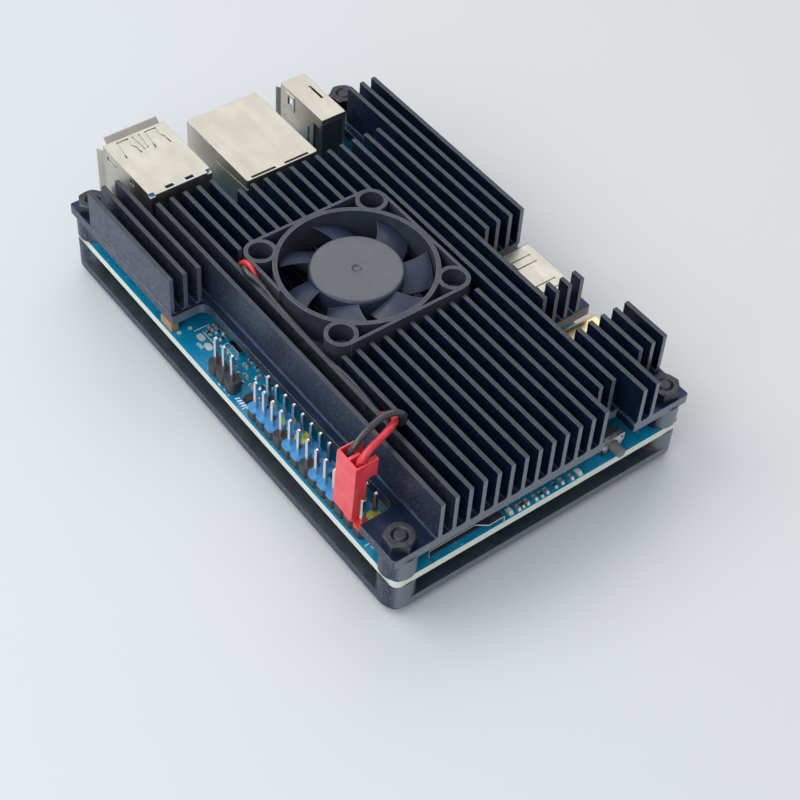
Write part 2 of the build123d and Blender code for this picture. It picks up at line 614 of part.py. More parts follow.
with BuildPart() as debug_header_pins:
    with BuildSketch(Plane.XY.offset(z_pcb0 - 1.4)):
        with Locations(*dbg_pins):
            Rectangle(pin_w, pin_w)
    extrude(amount=pcb_t + 1.4 + pin_top)
    chamfer(debug_header_pins.edges().filter_by(Plane.XY).group_by(Axis.Z)[-1], length=0.16)
debug_header_pins.part.label = "debug_header_pins"
export_step(debug_header_pins.part, "parts/debug_header_pins.step")

# ---------------------------------------------------------------- USB stack
x0, x1, y0, y1, h = stack
zt = z_pcb1 + h
w = 0.35
ym = (y0 + y1) / 2
z_div, div_h = z_pcb1 + 7.70, 2.10              # divider between the two ports and its half height
with BuildPart() as usb_stack_shell:
    with BuildSketch(Plane.XY.offset(z_pcb1)):
        with Locations(((x0 + x1) / 2, ym)):
            Rectangle(x1 - x0, y1 - y0)
    extrude(amount=h)
    with BuildSketch(Plane.XY.offset(z_pcb1 + w)):
        with Locations(((x0 + x1) / 2 - w, ym)):
            Rectangle(x1 - x0, y1 - y0 - 2 * w)
    extrude(amount=h - 2 * w, mode=Mode.SUBTRACT)
    # middle divider, a folded double sheet
    with BuildSketch(Plane.XY.offset(z_div - div_h)):
        with Locations(((x0 + x1 - w - 5.2) / 2, ym)):
            Rectangle(x1 - x0 - w - 5.2, y1 - y0 - w)
    extrude(amount=2 * div_h)
    with BuildSketch(Plane.XY.offset(z_div - div_h + w)):
        with Locations(((x0 + x1 - w - 5.2) / 2 + 1.5, ym)):
            Rectangle(x1 - x0 - w - 5.2, y1 - y0 - 3 * w)
    extrude(amount=2 * (div_h - w), mode=Mode.SUBTRACT)
    # flared lips round the mouth
    with BuildSketch(Plane.XZ.offset(-(y0 + 0.9))):
        with BuildLine():
            Polyline((x0 + 0.3, zt), (x0 + 0.3, zt - w), (x0, zt - w), (x0 - 1.05, zt + 0.50), (x0 - 1.20, zt + 0.88), (x0 - 0.15, zt + 0.10), (x0, zt), close=True)
        make_face()
        with BuildLine():
            Polyline((x0 + 0.3, z_pcb1), (x0 + 0.3, z_pcb1 + w), (x0, z_pcb1 + w), (x0 - 1.1, z_pcb1 + 0.15), (x0 - 1.1, z_pcb1 - 0.15), (x0, z_pcb1), close=True)
        make_face()
    extrude(amount=-(y1 - y0 - 1.8))
    with BuildSketch(Plane.XY.offset(z_pcb1 + 1.0)):
        with BuildLine():
            Polyline((x0 + 0.3, y0), (x0 + 0.3, y0 + w), (x0, y0 + w), (x0 - 1.15, y0 - 0.35), (x0 - 1.15, y0 - 0.72), (x0, y0), close=True)
        make_face()
        with BuildLine():
            Polyline((x0 + 0.3, y1), (x0 + 0.3, y1 - w), (x0, y1 - w), (x0 - 1.15, y1 + 0.35), (x0 - 1.15, y1 + 0.72), (x0, y1), close=True)
        make_face()
    extrude(amount=h - 2.0)
    # spring fingers: two waisted tabs and a narrow one, cut free by thin slots in the top sheet
    with BuildSketch(Plane.XY.offset(zt - w - 0.1)):
        for cut in (
            ((-50.30, -12.55), (-48.35, -12.80), (-47.55, -12.35), (-45.40, -12.20)),
            ((-50.30, -14.75), (-48.00, -15.00), (-45.50, -15.30)),
            ((-50.30, -16.10), (-46.30, -16.50)),
            ((-50.30, -17.45), (-46.30, -17.20)),
            ((-50.30, -18.50), (-48.45, -18.90), (-47.65, -18.30), (-45.70, -18.20)),
            ((-50.30, -20.70), (-48.00, -21.00), (-45.80, -21.30)),
            ((-50.30, -12.55), (-50.30, -14.75)),
            ((-50.30, -18.50), (-50.30, -20.70)),
        ):
            for p, q in zip(cut[:-1], cut[1:]):
                with Locations(((p[0] + q[0]) / 2, (p[1] + q[1]) / 2)):
                    Rectangle(math.dist(p, q) + 0.20, 0.24, rotation=math.degrees(math.atan2(q[1] - p[1], q[0] - p[0])))
    extrude(amount=w + 0.3, mode=Mode.SUBTRACT)
    # two windows at the rear edge of the top
    with BuildSketch(Plane.XY.offset(zt - w - 0.1)):
        with Locations((x1 - 0.75, ym + 2.1), (x1 - 0.75, ym - 2.1)):
            Rectangle(0.75, 1.7)
        with Locations((x1 - 0.35, y0 + 0.45), (x1 - 0.35, y1 - 0.45)):
            Rectangle(1.0, 1.1)
    extrude(amount=w + 0.3, mode=Mode.SUBTRACT)
    # side windows
    with BuildSketch(Plane.XZ.offset(-(y0 - 1.0))):
        with Locations((x0 + 3.1, zt - 1.75), (x0 + 3.1, z_pcb1 + 3.4)):
            Rectangle(3.4, 0.8)
        with Locations((x1 - 6.5, zt - 1.5), (x1 - 6.5, z_pcb1 + 3.6)):
            Rectangle(1.3, 0.9)
    extrude(amount=-2.0, mode=Mode.SUBTRACT)
    for lx, ly, sx, sy in stack_legs:
        with BuildSketch(Plane.XY.offset(z_pcb1 + 0.3)):
            with Locations((lx, ly)):
                Rectangle(sx, sy)
        extrude(amount=-(0.3 + pcb_t + 0.9))
usb_stack_shell.part.label = "usb_stack_shell"
export_step(usb_stack_shell.part, "parts/usb_stack_shell.step")

with BuildPart() as usb_stack_insert:
    # rear block, then a tongue for each port
    with BuildSketch(Plane.XY.offset(z_pcb1 + w)):
        with Locations((x1 - w - 2.5, ym)):
            Rectangle(5.0, y1 - y0 - 2 * w)
    extrude(amount=h - 2 * w)
    for zg in (z_pcb1 + w, z_div + div_h):
        with BuildSketch(Plane.XY.offset(zg + 2.75)):
            with Locations((x1 - w - 8.7, ym)):
                Rectangle(8.4, 11.1)
        extrude(amount=1.84)
    # pockets under the two rear windows
    with BuildSketch(Plane.XY.offset(z_pcb1 + h - w)):
        with Locations((x1 - 0.80, ym + 2.1), (x1 - 0.80, ym - 2.1)):
            Rectangle(0.9, 1.9)
    extrude(amount=-1.6, mode=Mode.SUBTRACT)
usb_stack_insert.part.label = "usb_stack_insert"
export_step(usb_stack_insert.part, "parts/usb_stack_insert.step")

with BuildPart() as usb_stack_contacts:
    for zg in (z_pcb1 + w, z_div + div_h):
        with BuildSketch(Plane.XY.offset(zg + 2.75)):
            with Locations(*[(x1 - w - 9.0, ym + d) for d in (-3.5, -1.0, 1.0, 3.5)]):
                Rectangle(7.0, 1.0)
        extrude(amount=-0.18)
usb_stack_contacts.part.label = "usb_stack_contacts"
export_step(usb_stack_contacts.part, "parts/usb_stack_contacts.step")

# ---------------------------------------------------------------- network socket
x0, x1, y0, y1, h = ether
zt = z_pcb1 + h
w = 0.30
ym = (y0 + y1) / 2
with BuildPart() as ethernet_shell:
    with BuildSketch(Plane.XY.offset(z_pcb1)):
        with Locations(((x0 + x1) / 2, ym)):
            Rectangle(x1 - x0, y1 - y0)
    extrude(amount=h)
    fillet(ethernet_shell.edges().filter_by(Axis.Z).group_by(Axis.X)[-1], radius=0.5)
    with BuildSketch(Plane.XY.offset(z_pcb1 - 0.1)):
        with Locations(((x0 + x1) / 2 - w, ym)):
            Rectangle(x1 - x0, y1 - y0 - 2 * w)
    extrude(amount=h - w + 0.1, mode=Mode.SUBTRACT)
    # rear edge: two long slots where the back sheet hooks into the top
    with BuildSketch(Plane.XY.offset(zt - w - 0.1)):
        with Locations((x1 - 0.55, ym + 3.4), (x1 - 0.55, ym - 3.9)):
            Rectangle(0.55, 5.3)
    extrude(amount=w + 0.3, mode=Mode.SUBTRACT)
    # joint line between the side sheet and the wrapped back sheet
    with BuildSketch(Plane.XZ.offset(-(y0 + 0.22))):
        with BuildLine():
            a1 = Spline((-46.2, zt + 0.1), (-44.6, zt - 0.15), (-43.3, zt - 0.9), (-42.0, zt - 2.2), (-40.5, zt - 2.75), (-37.6, zt - 2.6), (-34.3, zt - 2.4), (-30.2, zt - 2.3))
            a2 = Spline((-46.2, zt + 0.4), (-44.45, zt + 0.12), (-43.02, zt - 0.69), (-41.75, zt - 1.99), (-40.35, zt - 2.49), (-37.6, zt - 2.34), (-34.3, zt - 2.14), (-30.2, zt - 2.04))
            Line(a1 @ 0, a2 @ 0)
            Line(a1 @ 1, a2 @ 1)
        make_face()
    extrude(amount=1.0, mode=Mode.SUBTRACT)
    for lx, ly, sx, sy in ether_legs:
        with BuildSketch(Plane.XY.offset(z_pcb1 + 0.3)):
            with Locations((lx, ly)):
                Rectangle(sx, sy)
        extrude(amount=-(0.3 + pcb_t + 0.9))
ethernet_shell.part.label = "ethernet_shell"
export_step(ethernet_shell.part, "parts/ethernet_shell.step")

with BuildPart() as ethernet_insert:
    with BuildSketch(Plane.XY.offset(z_pcb1)):
        with Locations(((x0 + x1 - w) / 2 + 0.4, ym)):
            Rectangle(x1 - x0 - w - 0.8, y1 - y0 - 2 * w)
    extrude(amount=h - w)
    # plug cavity with the latch channel below it
    with BuildSketch(Plane.YZ.offset(x0)):
        with Locations((ym, z_pcb1 + 7.4)):
            Rectangle(11.9, 7.0)
        with Locations((ym, z_pcb1 + 3.0)):
            Rectangle(6.2, 2.4)
        with Locations((ym, z_pcb1 + 1.6)):
            Rectangle(4.0, 1.6)
    extrude(amount=13.5, mode=Mode.SUBTRACT)
    # windows of the two link lights
    with BuildSketch(Plane.YZ.offset(x0)):
        with Locations((ym + 6.0, z_pcb1 + 1.7), (ym - 6.0, z_pcb1 + 1.7)):
            Rectangle(2.6, 1.8)
    extrude(amount=2.4, mode=Mode.SUBTRACT)
ethernet_insert.part.label = "ethernet_insert"
export_step(ethernet_insert.part, "parts/ethernet_insert.step")

with BuildPart() as ethernet_lights:
    with BuildSketch(Plane.YZ.offset(x0 + 0.8)):
        with Locations((ym + 6.0, z_pcb1 + 1.7), (ym - 6.0, z_pcb1 + 1.7)):
            Rectangle(2.6, 1.8)
    extrude(amount=1.6)
ethernet_lights.part.label = "ethernet_lights"
export_step(ethernet_lights.part, "parts/ethernet_lights.step")

with BuildPart() as ethernet_contacts:
    with BuildSketch(Plane.XZ.offset(-ym)):
        with BuildLine():
            Polyline(
                (x0 + 3.0, z_pcb1 + 8.7), (x0 + 11.2, z_pcb1 + 10.5), (x0 + 13.5, z_pcb1 + 10.5),
                (x0 + 13.5, z_pcb1 + 10.9), (x0 + 11.0, z_pcb1 + 10.9), (x0 + 2.9, z_pcb1 + 9.1), close=True,
            )
        make_face()
    extrude(amount=4.0, both=True)
    with BuildSketch(Plane.YZ.offset(x0)):
        with Locations(*[(ym - 3.06 + 1.02 * i, z_pcb1 + 9.5) for i in range(7)]):
            Rectangle(0.62, 4.0)
        with Locations((ym - 3.98, z_pcb1 + 9.5), (ym + 3.98, z_pcb1 + 9.5)):
            Rectangle(0.42, 4.0)
    extrude(amount=14.0, mode=Mode.SUBTRACT)
ethernet_contacts.part.label = "ethernet_contacts"
export_step(ethernet_contacts.part, "parts/ethernet_contacts.step")

# ---------------------------------------------------------------- upright USB port
x0, x1, y0, y1, h = upright
zt = z_pcb1 + h
w = 0.30
ym = (y0 + y1) / 2
rear_cut = -39.6
with BuildPart() as usb_upright_shell:
    with BuildSketch(Plane.XY.offset(z_pcb1 + 0.3)):
        with Locations(((x0 + x1) / 2, ym)):
            Rectangle(x1 - x0, y1 - y0)
    extrude(amount=h - 0.3)
    with BuildSketch(Plane.XY.offset(z_pcb1 + 0.3 + w)):
        with Locations(((x0 + x1) / 2 - w, ym)):
            Rectangle(x1 - x0, y1 - y0 - 2 * w)
    extrude(amount=h - 0.3 - 2 * w, mode=Mode.SUBTRACT)
    # flared lips on the two broad sides
    with BuildSketch(Plane.XY.offset(z_pcb1 + 1.2)):
        with BuildLine():
            Polyline((x0 + 0.3, y0), (x0 + 0.3, y0 + w), (x0, y0 + w), (x0 - 0.9, y0 - 0.3), (x0 - 0.9, y0 - 0.6), (x0, y0), close=True)
        make_face()
        with BuildLine():
            Polyline((x0 + 0.3, y1), (x0 + 0.3, y1 - w), (x0, y1 - w), (x0 - 0.9, y1 + 0.3), (x0 - 0.9, y1 + 0.6), (x0, y1), close=True)
        make_face()
    extrude(amount=h - 2.4)
    # spring slot in the narrow top, latch windows in the broad side
    with BuildSketch(Plane.XY.offset(zt - w - 0.1)):
        with Locations((-44.6, ym + 1.35)):
            Rectangle(4.4, 0.55)
    extrude(amount=w + 0.3, mode=Mode.SUBTRACT)
    with BuildSketch(Plane.XZ.offset(-y0)):
        with Locations((-47.4, zt - 2.6)):
            Rectangle(2.9, 3.5)
    extrude(amount=0.12)
    with BuildSketch(Plane.XZ.offset(-(y0 - 0.5))):
        with Locations((-47.25, zt - 2.4), (-47.25, zt - 9.2)):
            Rectangle(1.6, 2.0)
        with Locations((-46.9, zt - 4.9), (-46.9, zt - 6.9)):
            Rectangle(5.0, 0.3)
        with Locations((-41.05, z_pcb1 + 6.0)):
            Rectangle(0.6, 6.4)
    extrude(amount=-1.0, mode=Mode.SUBTRACT)
    # rear left open below a folded top edge, where the contact tails come out
    with BuildSketch(Plane.YZ.offset(x1 - w - 0.1)):
        with Locations((ym - 0.35, z_pcb1 + 6.2)):
            Rectangle(y1 - y0 - 0.1, 12.0)
    extrude(amount=w + 0.3, mode=Mode.SUBTRACT)
    with BuildSketch(Plane.XZ.offset(-(y0 - 0.5))):
        with Locations((rear_cut / 2 + (x1 + 0.2) / 2, z_pcb1 + 5.7)):
            Rectangle(x1 + 0.2 - rear_cut, 11.0)
    extrude(amount=-1.0, mode=Mode.SUBTRACT)
    for lx, ly, sx, sy in upright_legs:
        with BuildSketch(Plane.XY.offset(z_pcb1 + 0.5)):
            with Locations((lx, ly)):
                Rectangle(sx, sy)
        extrude(amount=-(0.5 + pcb_t + 0.9))
usb_upright_shell.part.label = "usb_upright_shell"
export_step(usb_upright_shell.part, "parts/usb_upright_shell.step")

with BuildPart() as usb_upright_insert:
    with BuildSketch(Plane.XY.offset(z_pcb1 + 0.3 + w)):
        with Locations((x1 - w - 1.6, ym)):
            Rectangle(3.2, y1 - y0 - 2 * w)
    extrude(amount=h - 0.3 - 2 * w)
    with BuildSketch(Plane.XY.offset(z_pcb1 + 1.3)):
        with Locations((x1 - w - 7.2, ym + 0.95)):
            Rectangle(8.2, 1.8)
    extrude(amount=11.2)
usb_upright_insert.part.label = "usb_upright_insert"
export_step(usb_upright_insert.part, "parts/usb_upright_insert.step")

with BuildPart() as usb_upright_contacts:
    with BuildSketch(Plane.XZ.offset(-(ym + 0.05))):
        with Locations(*[(x1 - w - 7.4, z_pcb1 + 6.9 + d) for d in (-3.5, -1.0, 1.0, 3.5)]):
            Rectangle(7.0, 1.0)
    extrude(amount=0.18)
usb_upright_contacts.part.label = "usb_upright_contacts"
export_step(usb_upright_contacts.part, "parts/usb_upright_contacts.step")

# ---------------------------------------------------------------- video port
x0, x1, y0, y1, h = video
zt = z_pcb1 + h
w = 0.30
xm = (x0 + x1) / 2
hdmi_z0 = z_pcb1 + 0.5
with BuildPart() as hdmi_shell:
    with BuildSketch(Plane.XZ.offset(-y0)):
        with BuildLine():
            Polyline((x0 + 1.5, hdmi_z0), (x1 - 1.5, hdmi_z0), (x1, hdmi_z0 + 1.6), (x1, zt), (x0, zt), (x0, hdmi_z0 + 1.6), close=True)
        make_face()
    extrude(amount=-(y1 - y0))
    fillet(hdmi_shell.edges().filter_by(Axis.Y).group_by(Axis.Z)[-1], radius=0.7)
    with BuildSketch(Plane.XZ.offset(-(y0 + w))):
        with BuildLine():
            Polyline(
                (x0 + 1.62, hdmi_z0 + w), (x1 - 1.62, hdmi_z0 + w), (x1 - w, hdmi_z0 + 1.72), (x1 - w, zt - w),
                (x0 + w, zt - w), (x0 + w, hdmi_z0 + 1.72), close=True,
            )
        make_face()
    extrude(amount=-(y1 - y0), mode=Mode.SUBTRACT)
    # two U-cut spring fingers in the top
    with BuildSketch(Plane.XY.offset(zt - w - 0.1)):
        for xf in (xm - 3.6, xm + 3.6):
            with Locations((xf - 0.95, 28.8), (xf + 0.95, 28.8)):
                Rectangle(0.22, 4.6)
            with Locations((xf, 26.6)):
                Rectangle(2.1, 0.22)
    extrude(amount=w + 0.3, mode=Mode.SUBTRACT)
    for lx, ly, sx, sy in video_legs:
        with BuildSketch(Plane.XY.offset(hdmi_z0 + 2.5)):
            with Locations((lx, ly)):
                Rectangle(sx, sy)
        extrude(amount=-(3.0 + pcb_t + 0.9))
hdmi_shell.part.label = "hdmi_shell"
export_step(hdmi_shell.part, "parts/hdmi_shell.step")

with BuildPart() as hdmi_insert:
    with BuildSketch(Plane.XY.offset(hdmi_z0 + 1.75)):
        with Locations((xm, y0 + w + 1.75)):
            Rectangle(x1 - x0 - 2 * w - 0.1, 3.5)
    extrude(amount=zt - w - 0.4 - (hdmi_z0 + 1.75))
    with BuildSketch(Plane.XY.offset(hdmi_z0 + 2.3)):
        with Locations((xm, y0 + w + 6.4)):
            Rectangle(11.2, 6.0)
    extrude(amount=1.2)
hdmi_insert.part.label = "hdmi_insert"
export_step(hdmi_insert.part, "parts/hdmi_insert.step")

with BuildPart() as hdmi_contacts:
    with BuildSketch(Plane.XY.offset(hdmi_z0 + 3.5)):
        with Locations(*[(xm - 4.5 + i, y0 + w + 6.4) for i in range(10)]):
            Rectangle(0.42, 5.2)
    extrude(amount=0.10)
    with BuildSketch(Plane.XY.offset(hdmi_z0 + 2.3)):
        with Locations(*[(xm - 4.0 + i, y0 + w + 6.4) for i in range(9)]):
            Rectangle(0.42, 5.2)
    extrude(amount=-0.10)
hdmi_contacts.part.label = "hdmi_contacts"
export_step(hdmi_contacts.part, "parts/hdmi_contacts.step")

# ---------------------------------------------------------------- power port
x0, x1, y0, y1, h = power_port
xm = (x0 + x1) / 2
zc = z_pcb1 + h / 2
with BuildPart() as usb_c_shell:
    with BuildSketch(Plane.XZ.offset(-y0)):
        with Locations((xm, zc)):
            RectangleRounded(x1 - x0, h - 0.02, 1.58)
    extrude(amount=-(y1 - y0))
    with BuildSketch(Plane.XZ.offset(-(y0 + 0.3))):
        with Locations((xm, zc)):
            RectangleRounded(x1 - x0 - 0.56, h - 0.58, 1.30)
    extrude(amount=-(y1 - y0), mode=Mode.SUBTRACT)
    for lx, ly, sx, sy in power_legs:
        with BuildSketch(Plane.XY.offset(zc)):
            with Locations((lx, ly)):
                Rectangle(sx, sy)
        extrude(amount=-(h / 2 + pcb_t + 0.5))
usb_c_shell.part.label = "usb_c_shell"
export_step(usb_c_shell.part, "parts/usb_c_shell.step")

with BuildPart() as usb_c_tongue:
    with BuildSketch(Plane.XZ.offset(-(y0 + 0.3))):
        with Locations((xm, zc)):
            RectangleRounded(x1 - x0 - 0.6, h - 0.62, 1.28)
    extrude(amount=-1.6)
    with BuildSketch(Plane.XZ.offset(-(y0 + 1.8))):
        with Locations((xm, zc)):
            Rectangle(6.7, 0.70)
    extrude(amount=-4.6)
usb_c_tongue.part.label = "usb_c_tongue"
export_step(usb_c_tongue.part, "parts/usb_c_tongue.step")

# ---------------------------------------------------------------- card socket
x0, x1, y0, y1, h = card
zt = z_pcb1 + h
w = 0.20
ym = (y0 + y1) / 2
with BuildPart() as card_socket_shell:
    with BuildSketch(Plane.XY.offset(z_pcb1)):
        with Locations(((x0 + x1) / 2, ym)):
            Rectangle(x1 - x0, y1 - y0)
    extrude(amount=h)
    fillet(card_socket_shell.edges().filter_by(Axis.X).group_by(Axis.Z)[-1], radius=0.35)
    with BuildSketch(Plane.XY.offset(z_pcb1 - 0.1)):
        with Locations(((x0 + x1) / 2 + w, ym)):
            Rectangle(x1 - x0, y1 - y0 - 2 * w)
    extrude(amount=h - w + 0.1, mode=Mode.SUBTRACT)
    # finger recess in the front edge of the top sheet
    with BuildSketch(Plane.XY.offset(z_pcb1 + 0.25)):
        with BuildLine():
            Polyline(
                (x1 + 0.5, y0 - 0.5), (x1 - 1.35, y0 - 0.5), (x1 - 1.35, y0 + 9.4), (x1, y0 + 11.3), (x1 + 0.5, y0 + 11.3), close=True
            )
        make_face()
    extrude(amount=h, mode=Mode.SUBTRACT)
    # spring fingers in the top sheet
    with BuildSketch(Plane.XY.offset(zt - w - 0.1)):
        for yf in (ym - 3.2, ym + 1.6):
            with Locations((x0 + 6.0, yf - 0.8), (x0 + 6.0, yf + 0.8)):
                Rectangle(5.0, 0.2)
            with Locations((x0 + 8.4, yf)):
                Rectangle(0.2, 1.6)
    extrude(amount=w + 0.3, mode=Mode.SUBTRACT)
card_socket_shell.part.label = "card_socket_shell"
export_step(card_socket_shell.part, "parts/card_socket_shell.step")

with BuildPart() as card_socket_base:
    with BuildSketch(Plane.XY.offset(z_pcb1)):
        with Locations(((x0 + x1) / 2 - 0.6, ym)):
            Rectangle(x1 - x0 - 1.8, y1 - y0 - 2 * w - 0.04)
    extrude(amount=0.45)
    with BuildSketch(Plane.XY.offset(z_pcb1)):
        with Locations((x0 + w + 0.8, ym)):
            Rectangle(1.2, y1 - y0 - 2 * w - 0.04)
        with Locations(((x0 + x1) / 2 - 0.6, y1 - w - 0.95)):
            Rectangle(x1 - x0 - 1.8, 1.85)
    extrude(amount=h - w - 0.02)
card_socket_base.part.label = "card_socket_base"
export_step(card_socket_base.part, "parts/card_socket_base.step")

with BuildPart() as card_socket_contacts:
    with BuildSketch(Plane.XY.offset(z_pcb1 + 0.45)):
        with Locations(*[(x0 + 5.2, y0 + 2.0 + 1.1 * i) for i in range(8)]):
            Rectangle(5.6, 0.45)
    extrude(amount=0.15)
    with BuildSketch(Plane.XY.offset(z_pcb1 + 0.60)):
        with Locations(*[(x0 + 6.6, y0 + 2.0 + 1.1 * i) for i in range(8)]):
            Rectangle(1.4, 0.45)
    extrude(amount=0.25)
card_socket_contacts.part.label = "card_socket_contacts"
export_step(card_socket_contacts.part, "parts/card_socket_contacts.step")

# ---------------------------------------------------------------- push button
btn_y, btn_z = 15.90, z_pcb1 + 1.95
with BuildPart() as power_button_body:
    with BuildSketch(Plane.XY.offset(z_pcb1)):
        with Locations((47.45, btn_y)):
            Rectangle(2.3, 4.0)
    extrude(amount=3.55)
    # bore the plunger slides in
    with BuildSketch(Plane.YZ.offset(46.9)):
        with Locations((btn_y, btn_z)):
            Circle(1.00)
    extrude(amount=3.0, mode=Mode.SUBTRACT)
power_button_body.part.label = "power_button_body"
export_step(power_button_body.part, "parts/power_button_body.step")

with BuildPart() as power_button_bracket:
    # bent sheet: top, front face with a hole, two side ears
    with BuildSketch(Plane.XY.offset(z_pcb1 + 3.55)):
        with Locations((48.45, btn_y)):
            Rectangle(0.90, 4.9)
    extrude(amount=0.30)
    with BuildSketch(Plane.YZ.offset(48.60)):
        with BuildLine():
            Polyline(
                (btn_y - 2.45, z_pcb1 + 3.85), (btn_y + 2.45, z_pcb1 + 3.85), (btn_y + 2.45, z_pcb1 + 2.4), (btn_y + 1.6, z_pcb1 + 0.7),
                (btn_y - 1.6, z_pcb1 + 0.7), (btn_y - 2.45, z_pcb1 + 2.4), close=True,
            )
        make_face()
        with Locations((btn_y, btn_z)):
            Circle(1.15, mode=Mode.SUBTRACT)
        with Locations((btn_y, z_pcb1 + 0.9)):
            Rectangle(2.3, 2.0, mode=Mode.SUBTRACT)
        with Locations((btn_y + 1.90, z_pcb1 + 3.05), (btn_y - 1.90, z_pcb1 + 3.05)):
            Circle(0.34, mode=Mode.SUBTRACT)
    extrude(amount=0.30)
    with BuildSketch(Plane.XZ.offset(-(btn_y - 2.45))):
        with BuildLine():
            Polyline((48.0, z_pcb1 + 3.85), (48.9, z_pcb1 + 3.85), (48.9, z_pcb1 + 2.2), (48.5, z_pcb1 + 1.2), (48.3, z_pcb1), (47.3, z_pcb1), (47.6, z_pcb1 + 1.6), (48.0, z_pcb1 + 2.6), close=True)
        make_face()
    extrude(amount=-0.30)
    with BuildSketch(Plane.XZ.offset(-(btn_y + 2.45))):
        with BuildLine():
            Polyline((48.0, z_pcb1 + 3.85), (48.9, z_pcb1 + 3.85), (48.9, z_pcb1 + 2.2), (48.5, z_pcb1 + 1.2), (48.3, z_pcb1), (47.3, z_pcb1), (47.6, z_pcb1 + 1.6), (48.0, z_pcb1 + 2.6), close=True)
        make_face()
    extrude(amount=0.30)
power_button_bracket.part.label = "power_button_bracket"
export_step(power_button_bracket.part, "parts/power_button_bracket.step")

with BuildPart() as power_button_plunger:
    with BuildSketch(Plane.YZ.offset(47.30)):
        with Locations((btn_y, btn_z)):
            Circle(0.95)
    extrude(amount=3.9)
    fillet(power_button_plunger.edges().filter_by(GeomType.CIRCLE).group_by(Axis.X)[-1], radius=0.25)
power_button_plunger.part.label = "power_button_plunger"
export_step(power_button_plunger.part, "parts/power_button_plunger.step")

# ---------------------------------------------------------------- chips on the board
with BuildPart() as processor:
    with BuildSketch(Plane.XY.offset(z_pcb1)):
        with Locations((-0.5, -3.0)):
            Rectangle(19.0, 21.0)
    extrude(amount=0.8)
    with BuildSketch(Plane.XY.offset(z_pcb1 + 0.8)):
        with Locations((-0.5, -3.0)):
            RectangleRounded(17.0, 19.0, 0.4)
    extrude(amount=0.5)
processor.part.label = "processor"
export_step(processor.part, "parts/processor.step")

with BuildPart() as memory_chips:
    with BuildSketch(Plane.XY.offset(z_pcb1)):
        with Locations((16.2, -10.6), (16.2, 4.6)):
            RectangleRounded(10.0, 14.4, 0.2)
    extrude(amount=1.0)
memory_chips.part.label = "memory_chips"
export_step(memory_chips.part, "parts/memory_chips.step")

with BuildPart() as thermal_pads:
    with BuildSketch(Plane.XY.offset(z_pcb1 + 1.3)):
        with Locations((-0.5, -3.0)):
            Rectangle(18.0, 20.0)
    extrude(amount=0.5)
    with BuildSketch(Plane.XY.offset(z_pcb1 + 1.0)):
        with Locations((16.2, -10.6), (16.2, 4.6)):
            Rectangle(9.0, 13.4)
    extrude(amount=0.8)
thermal_pads.part.label = "thermal_pads"
export_step(thermal_pads.part, "parts/thermal_pads.step")

with BuildPart() as power_chips:
    with BuildSketch(Plane.XY.offset(z_pcb1)):
        with Locations((29.0, 6.0)):
            Rectangle(7.0, 7.0)
        with Locations((38.5, 12.0), (41.0, 4.0)):
            Rectangle(3.0, 3.0)
    extrude(amount=0.9)
power_chips.part.label = "power_chips"
export_step(power_chips.part, "parts/power_chips.step")

ind_spots = [(27.0, 13.2), (31.4, 13.2), (35.0, 6.0), (35.0, 1.6), (29.0, -1.0), (24.6, -1.0), (41.5, 8.6), (43.0, 13.2)]
with BuildPart() as power_inductors:
    with BuildSketch(Plane.XY.offset(z_pcb1)):
        with Locations(*ind_spots):
            RectangleRounded(3.0, 3.0, 0.4)
    extrude(amount=1.6)
    chamfer(power_inductors.edges().filter_by(Plane.XY).group_by(Axis.Z)[-1], length=0.2)
power_inductors.part.label = "power_inductors"
export_step(power_inductors.part, "parts/power_inductors.step")

with BuildPart() as network_chip:
    with BuildSketch(Plane.XY.offset(z_pcb1)):
        with Locations((-23.0, 4.0)):
            Rectangle(6.0, 6.0)
    extrude(amount=0.85)
network_chip.part.label = "network_chip"
export_step(network_chip.part, "parts/network_chip.step")

# small eight-lead packages: boot flash under the heatsink, one by the header
with BuildPart() as small_chips:
    for cx, cy, lx, ly, lead in ((32.0, -12.0, 5.0, 4.0, 1.27), (4.20, -28.05, 1.5, 1.5, 0.38)):
        with BuildSketch(Plane.XY.offset(z_pcb1 + 0.1)):
            with Locations((cx, cy)):
                Rectangle(lx, ly)
        extrude(amount=0.75 if lx > 3 else 0.55)
        with BuildSketch(Plane.XY.offset(z_pcb1)):
            with Locations(*[(cx - 1.5 * lead + lead * i, cy) for i in range(4)]):
                Rectangle(lead * 0.4, ly + (1.6 if lx > 3 else 0.9))
        extrude(amount=0.22)
small_chips.part.label = "small_chips"
export_step(small_chips.part, "parts/small_chips.step")

with BuildPart() as crystals:
    with BuildSketch(Plane.XY.offset(z_pcb1)):
        with Locations((-6.9, -23.35)):
            RectangleRounded(3.4, 1.5, 0.25)
        with Locations((-17.0, -8.0), (-23.0, 9.6)):
            RectangleRounded(3.2, 2.5, 0.25)
    extrude(amount=0.85)
crystals.part.label = "crystals"
export_step(crystals.part, "parts/crystals.step")

# chip capacitors (x, y, along x?) and chip resistors
cap_spots = [
    (-13.6, -23.6, 1), (-13.6, -24.5, 1), (-11.2, -22.9, 0), (-2.6, -24.3, 1), (-0.6, -25.6, 1), (0.9, -24.0, 0), (2.0, -26.2, 1),
    (-1.9, -26.8, 0), (4.9, -25.3, 1), (5.3, -27.2, 0), (49.0, 6.6, 1), (48.8, 4.6, 1), (48.9, 1.2, 1), (49.0, -1.3, 1), (48.9, -3.0, 1),
    (49.0, -5.0, 1), (-18.0, -14.0, 1), (-18.0, -12.0, 1), (-22.0, -14.0, 0), (-20.0, 12.0, 1), (-20.0, 14.0, 1), (-26.0, -8.0, 0),
    (38.0, -5.0, 0), (36.2, -1.0, 1), (44.5, -3.0, 1), (44.5, 1.0, 1), (40.0, 16.8, 1), (-10.0, 18.0, 1), (-6.0, 18.0, 1), (0.0, 18.0, 1),
]
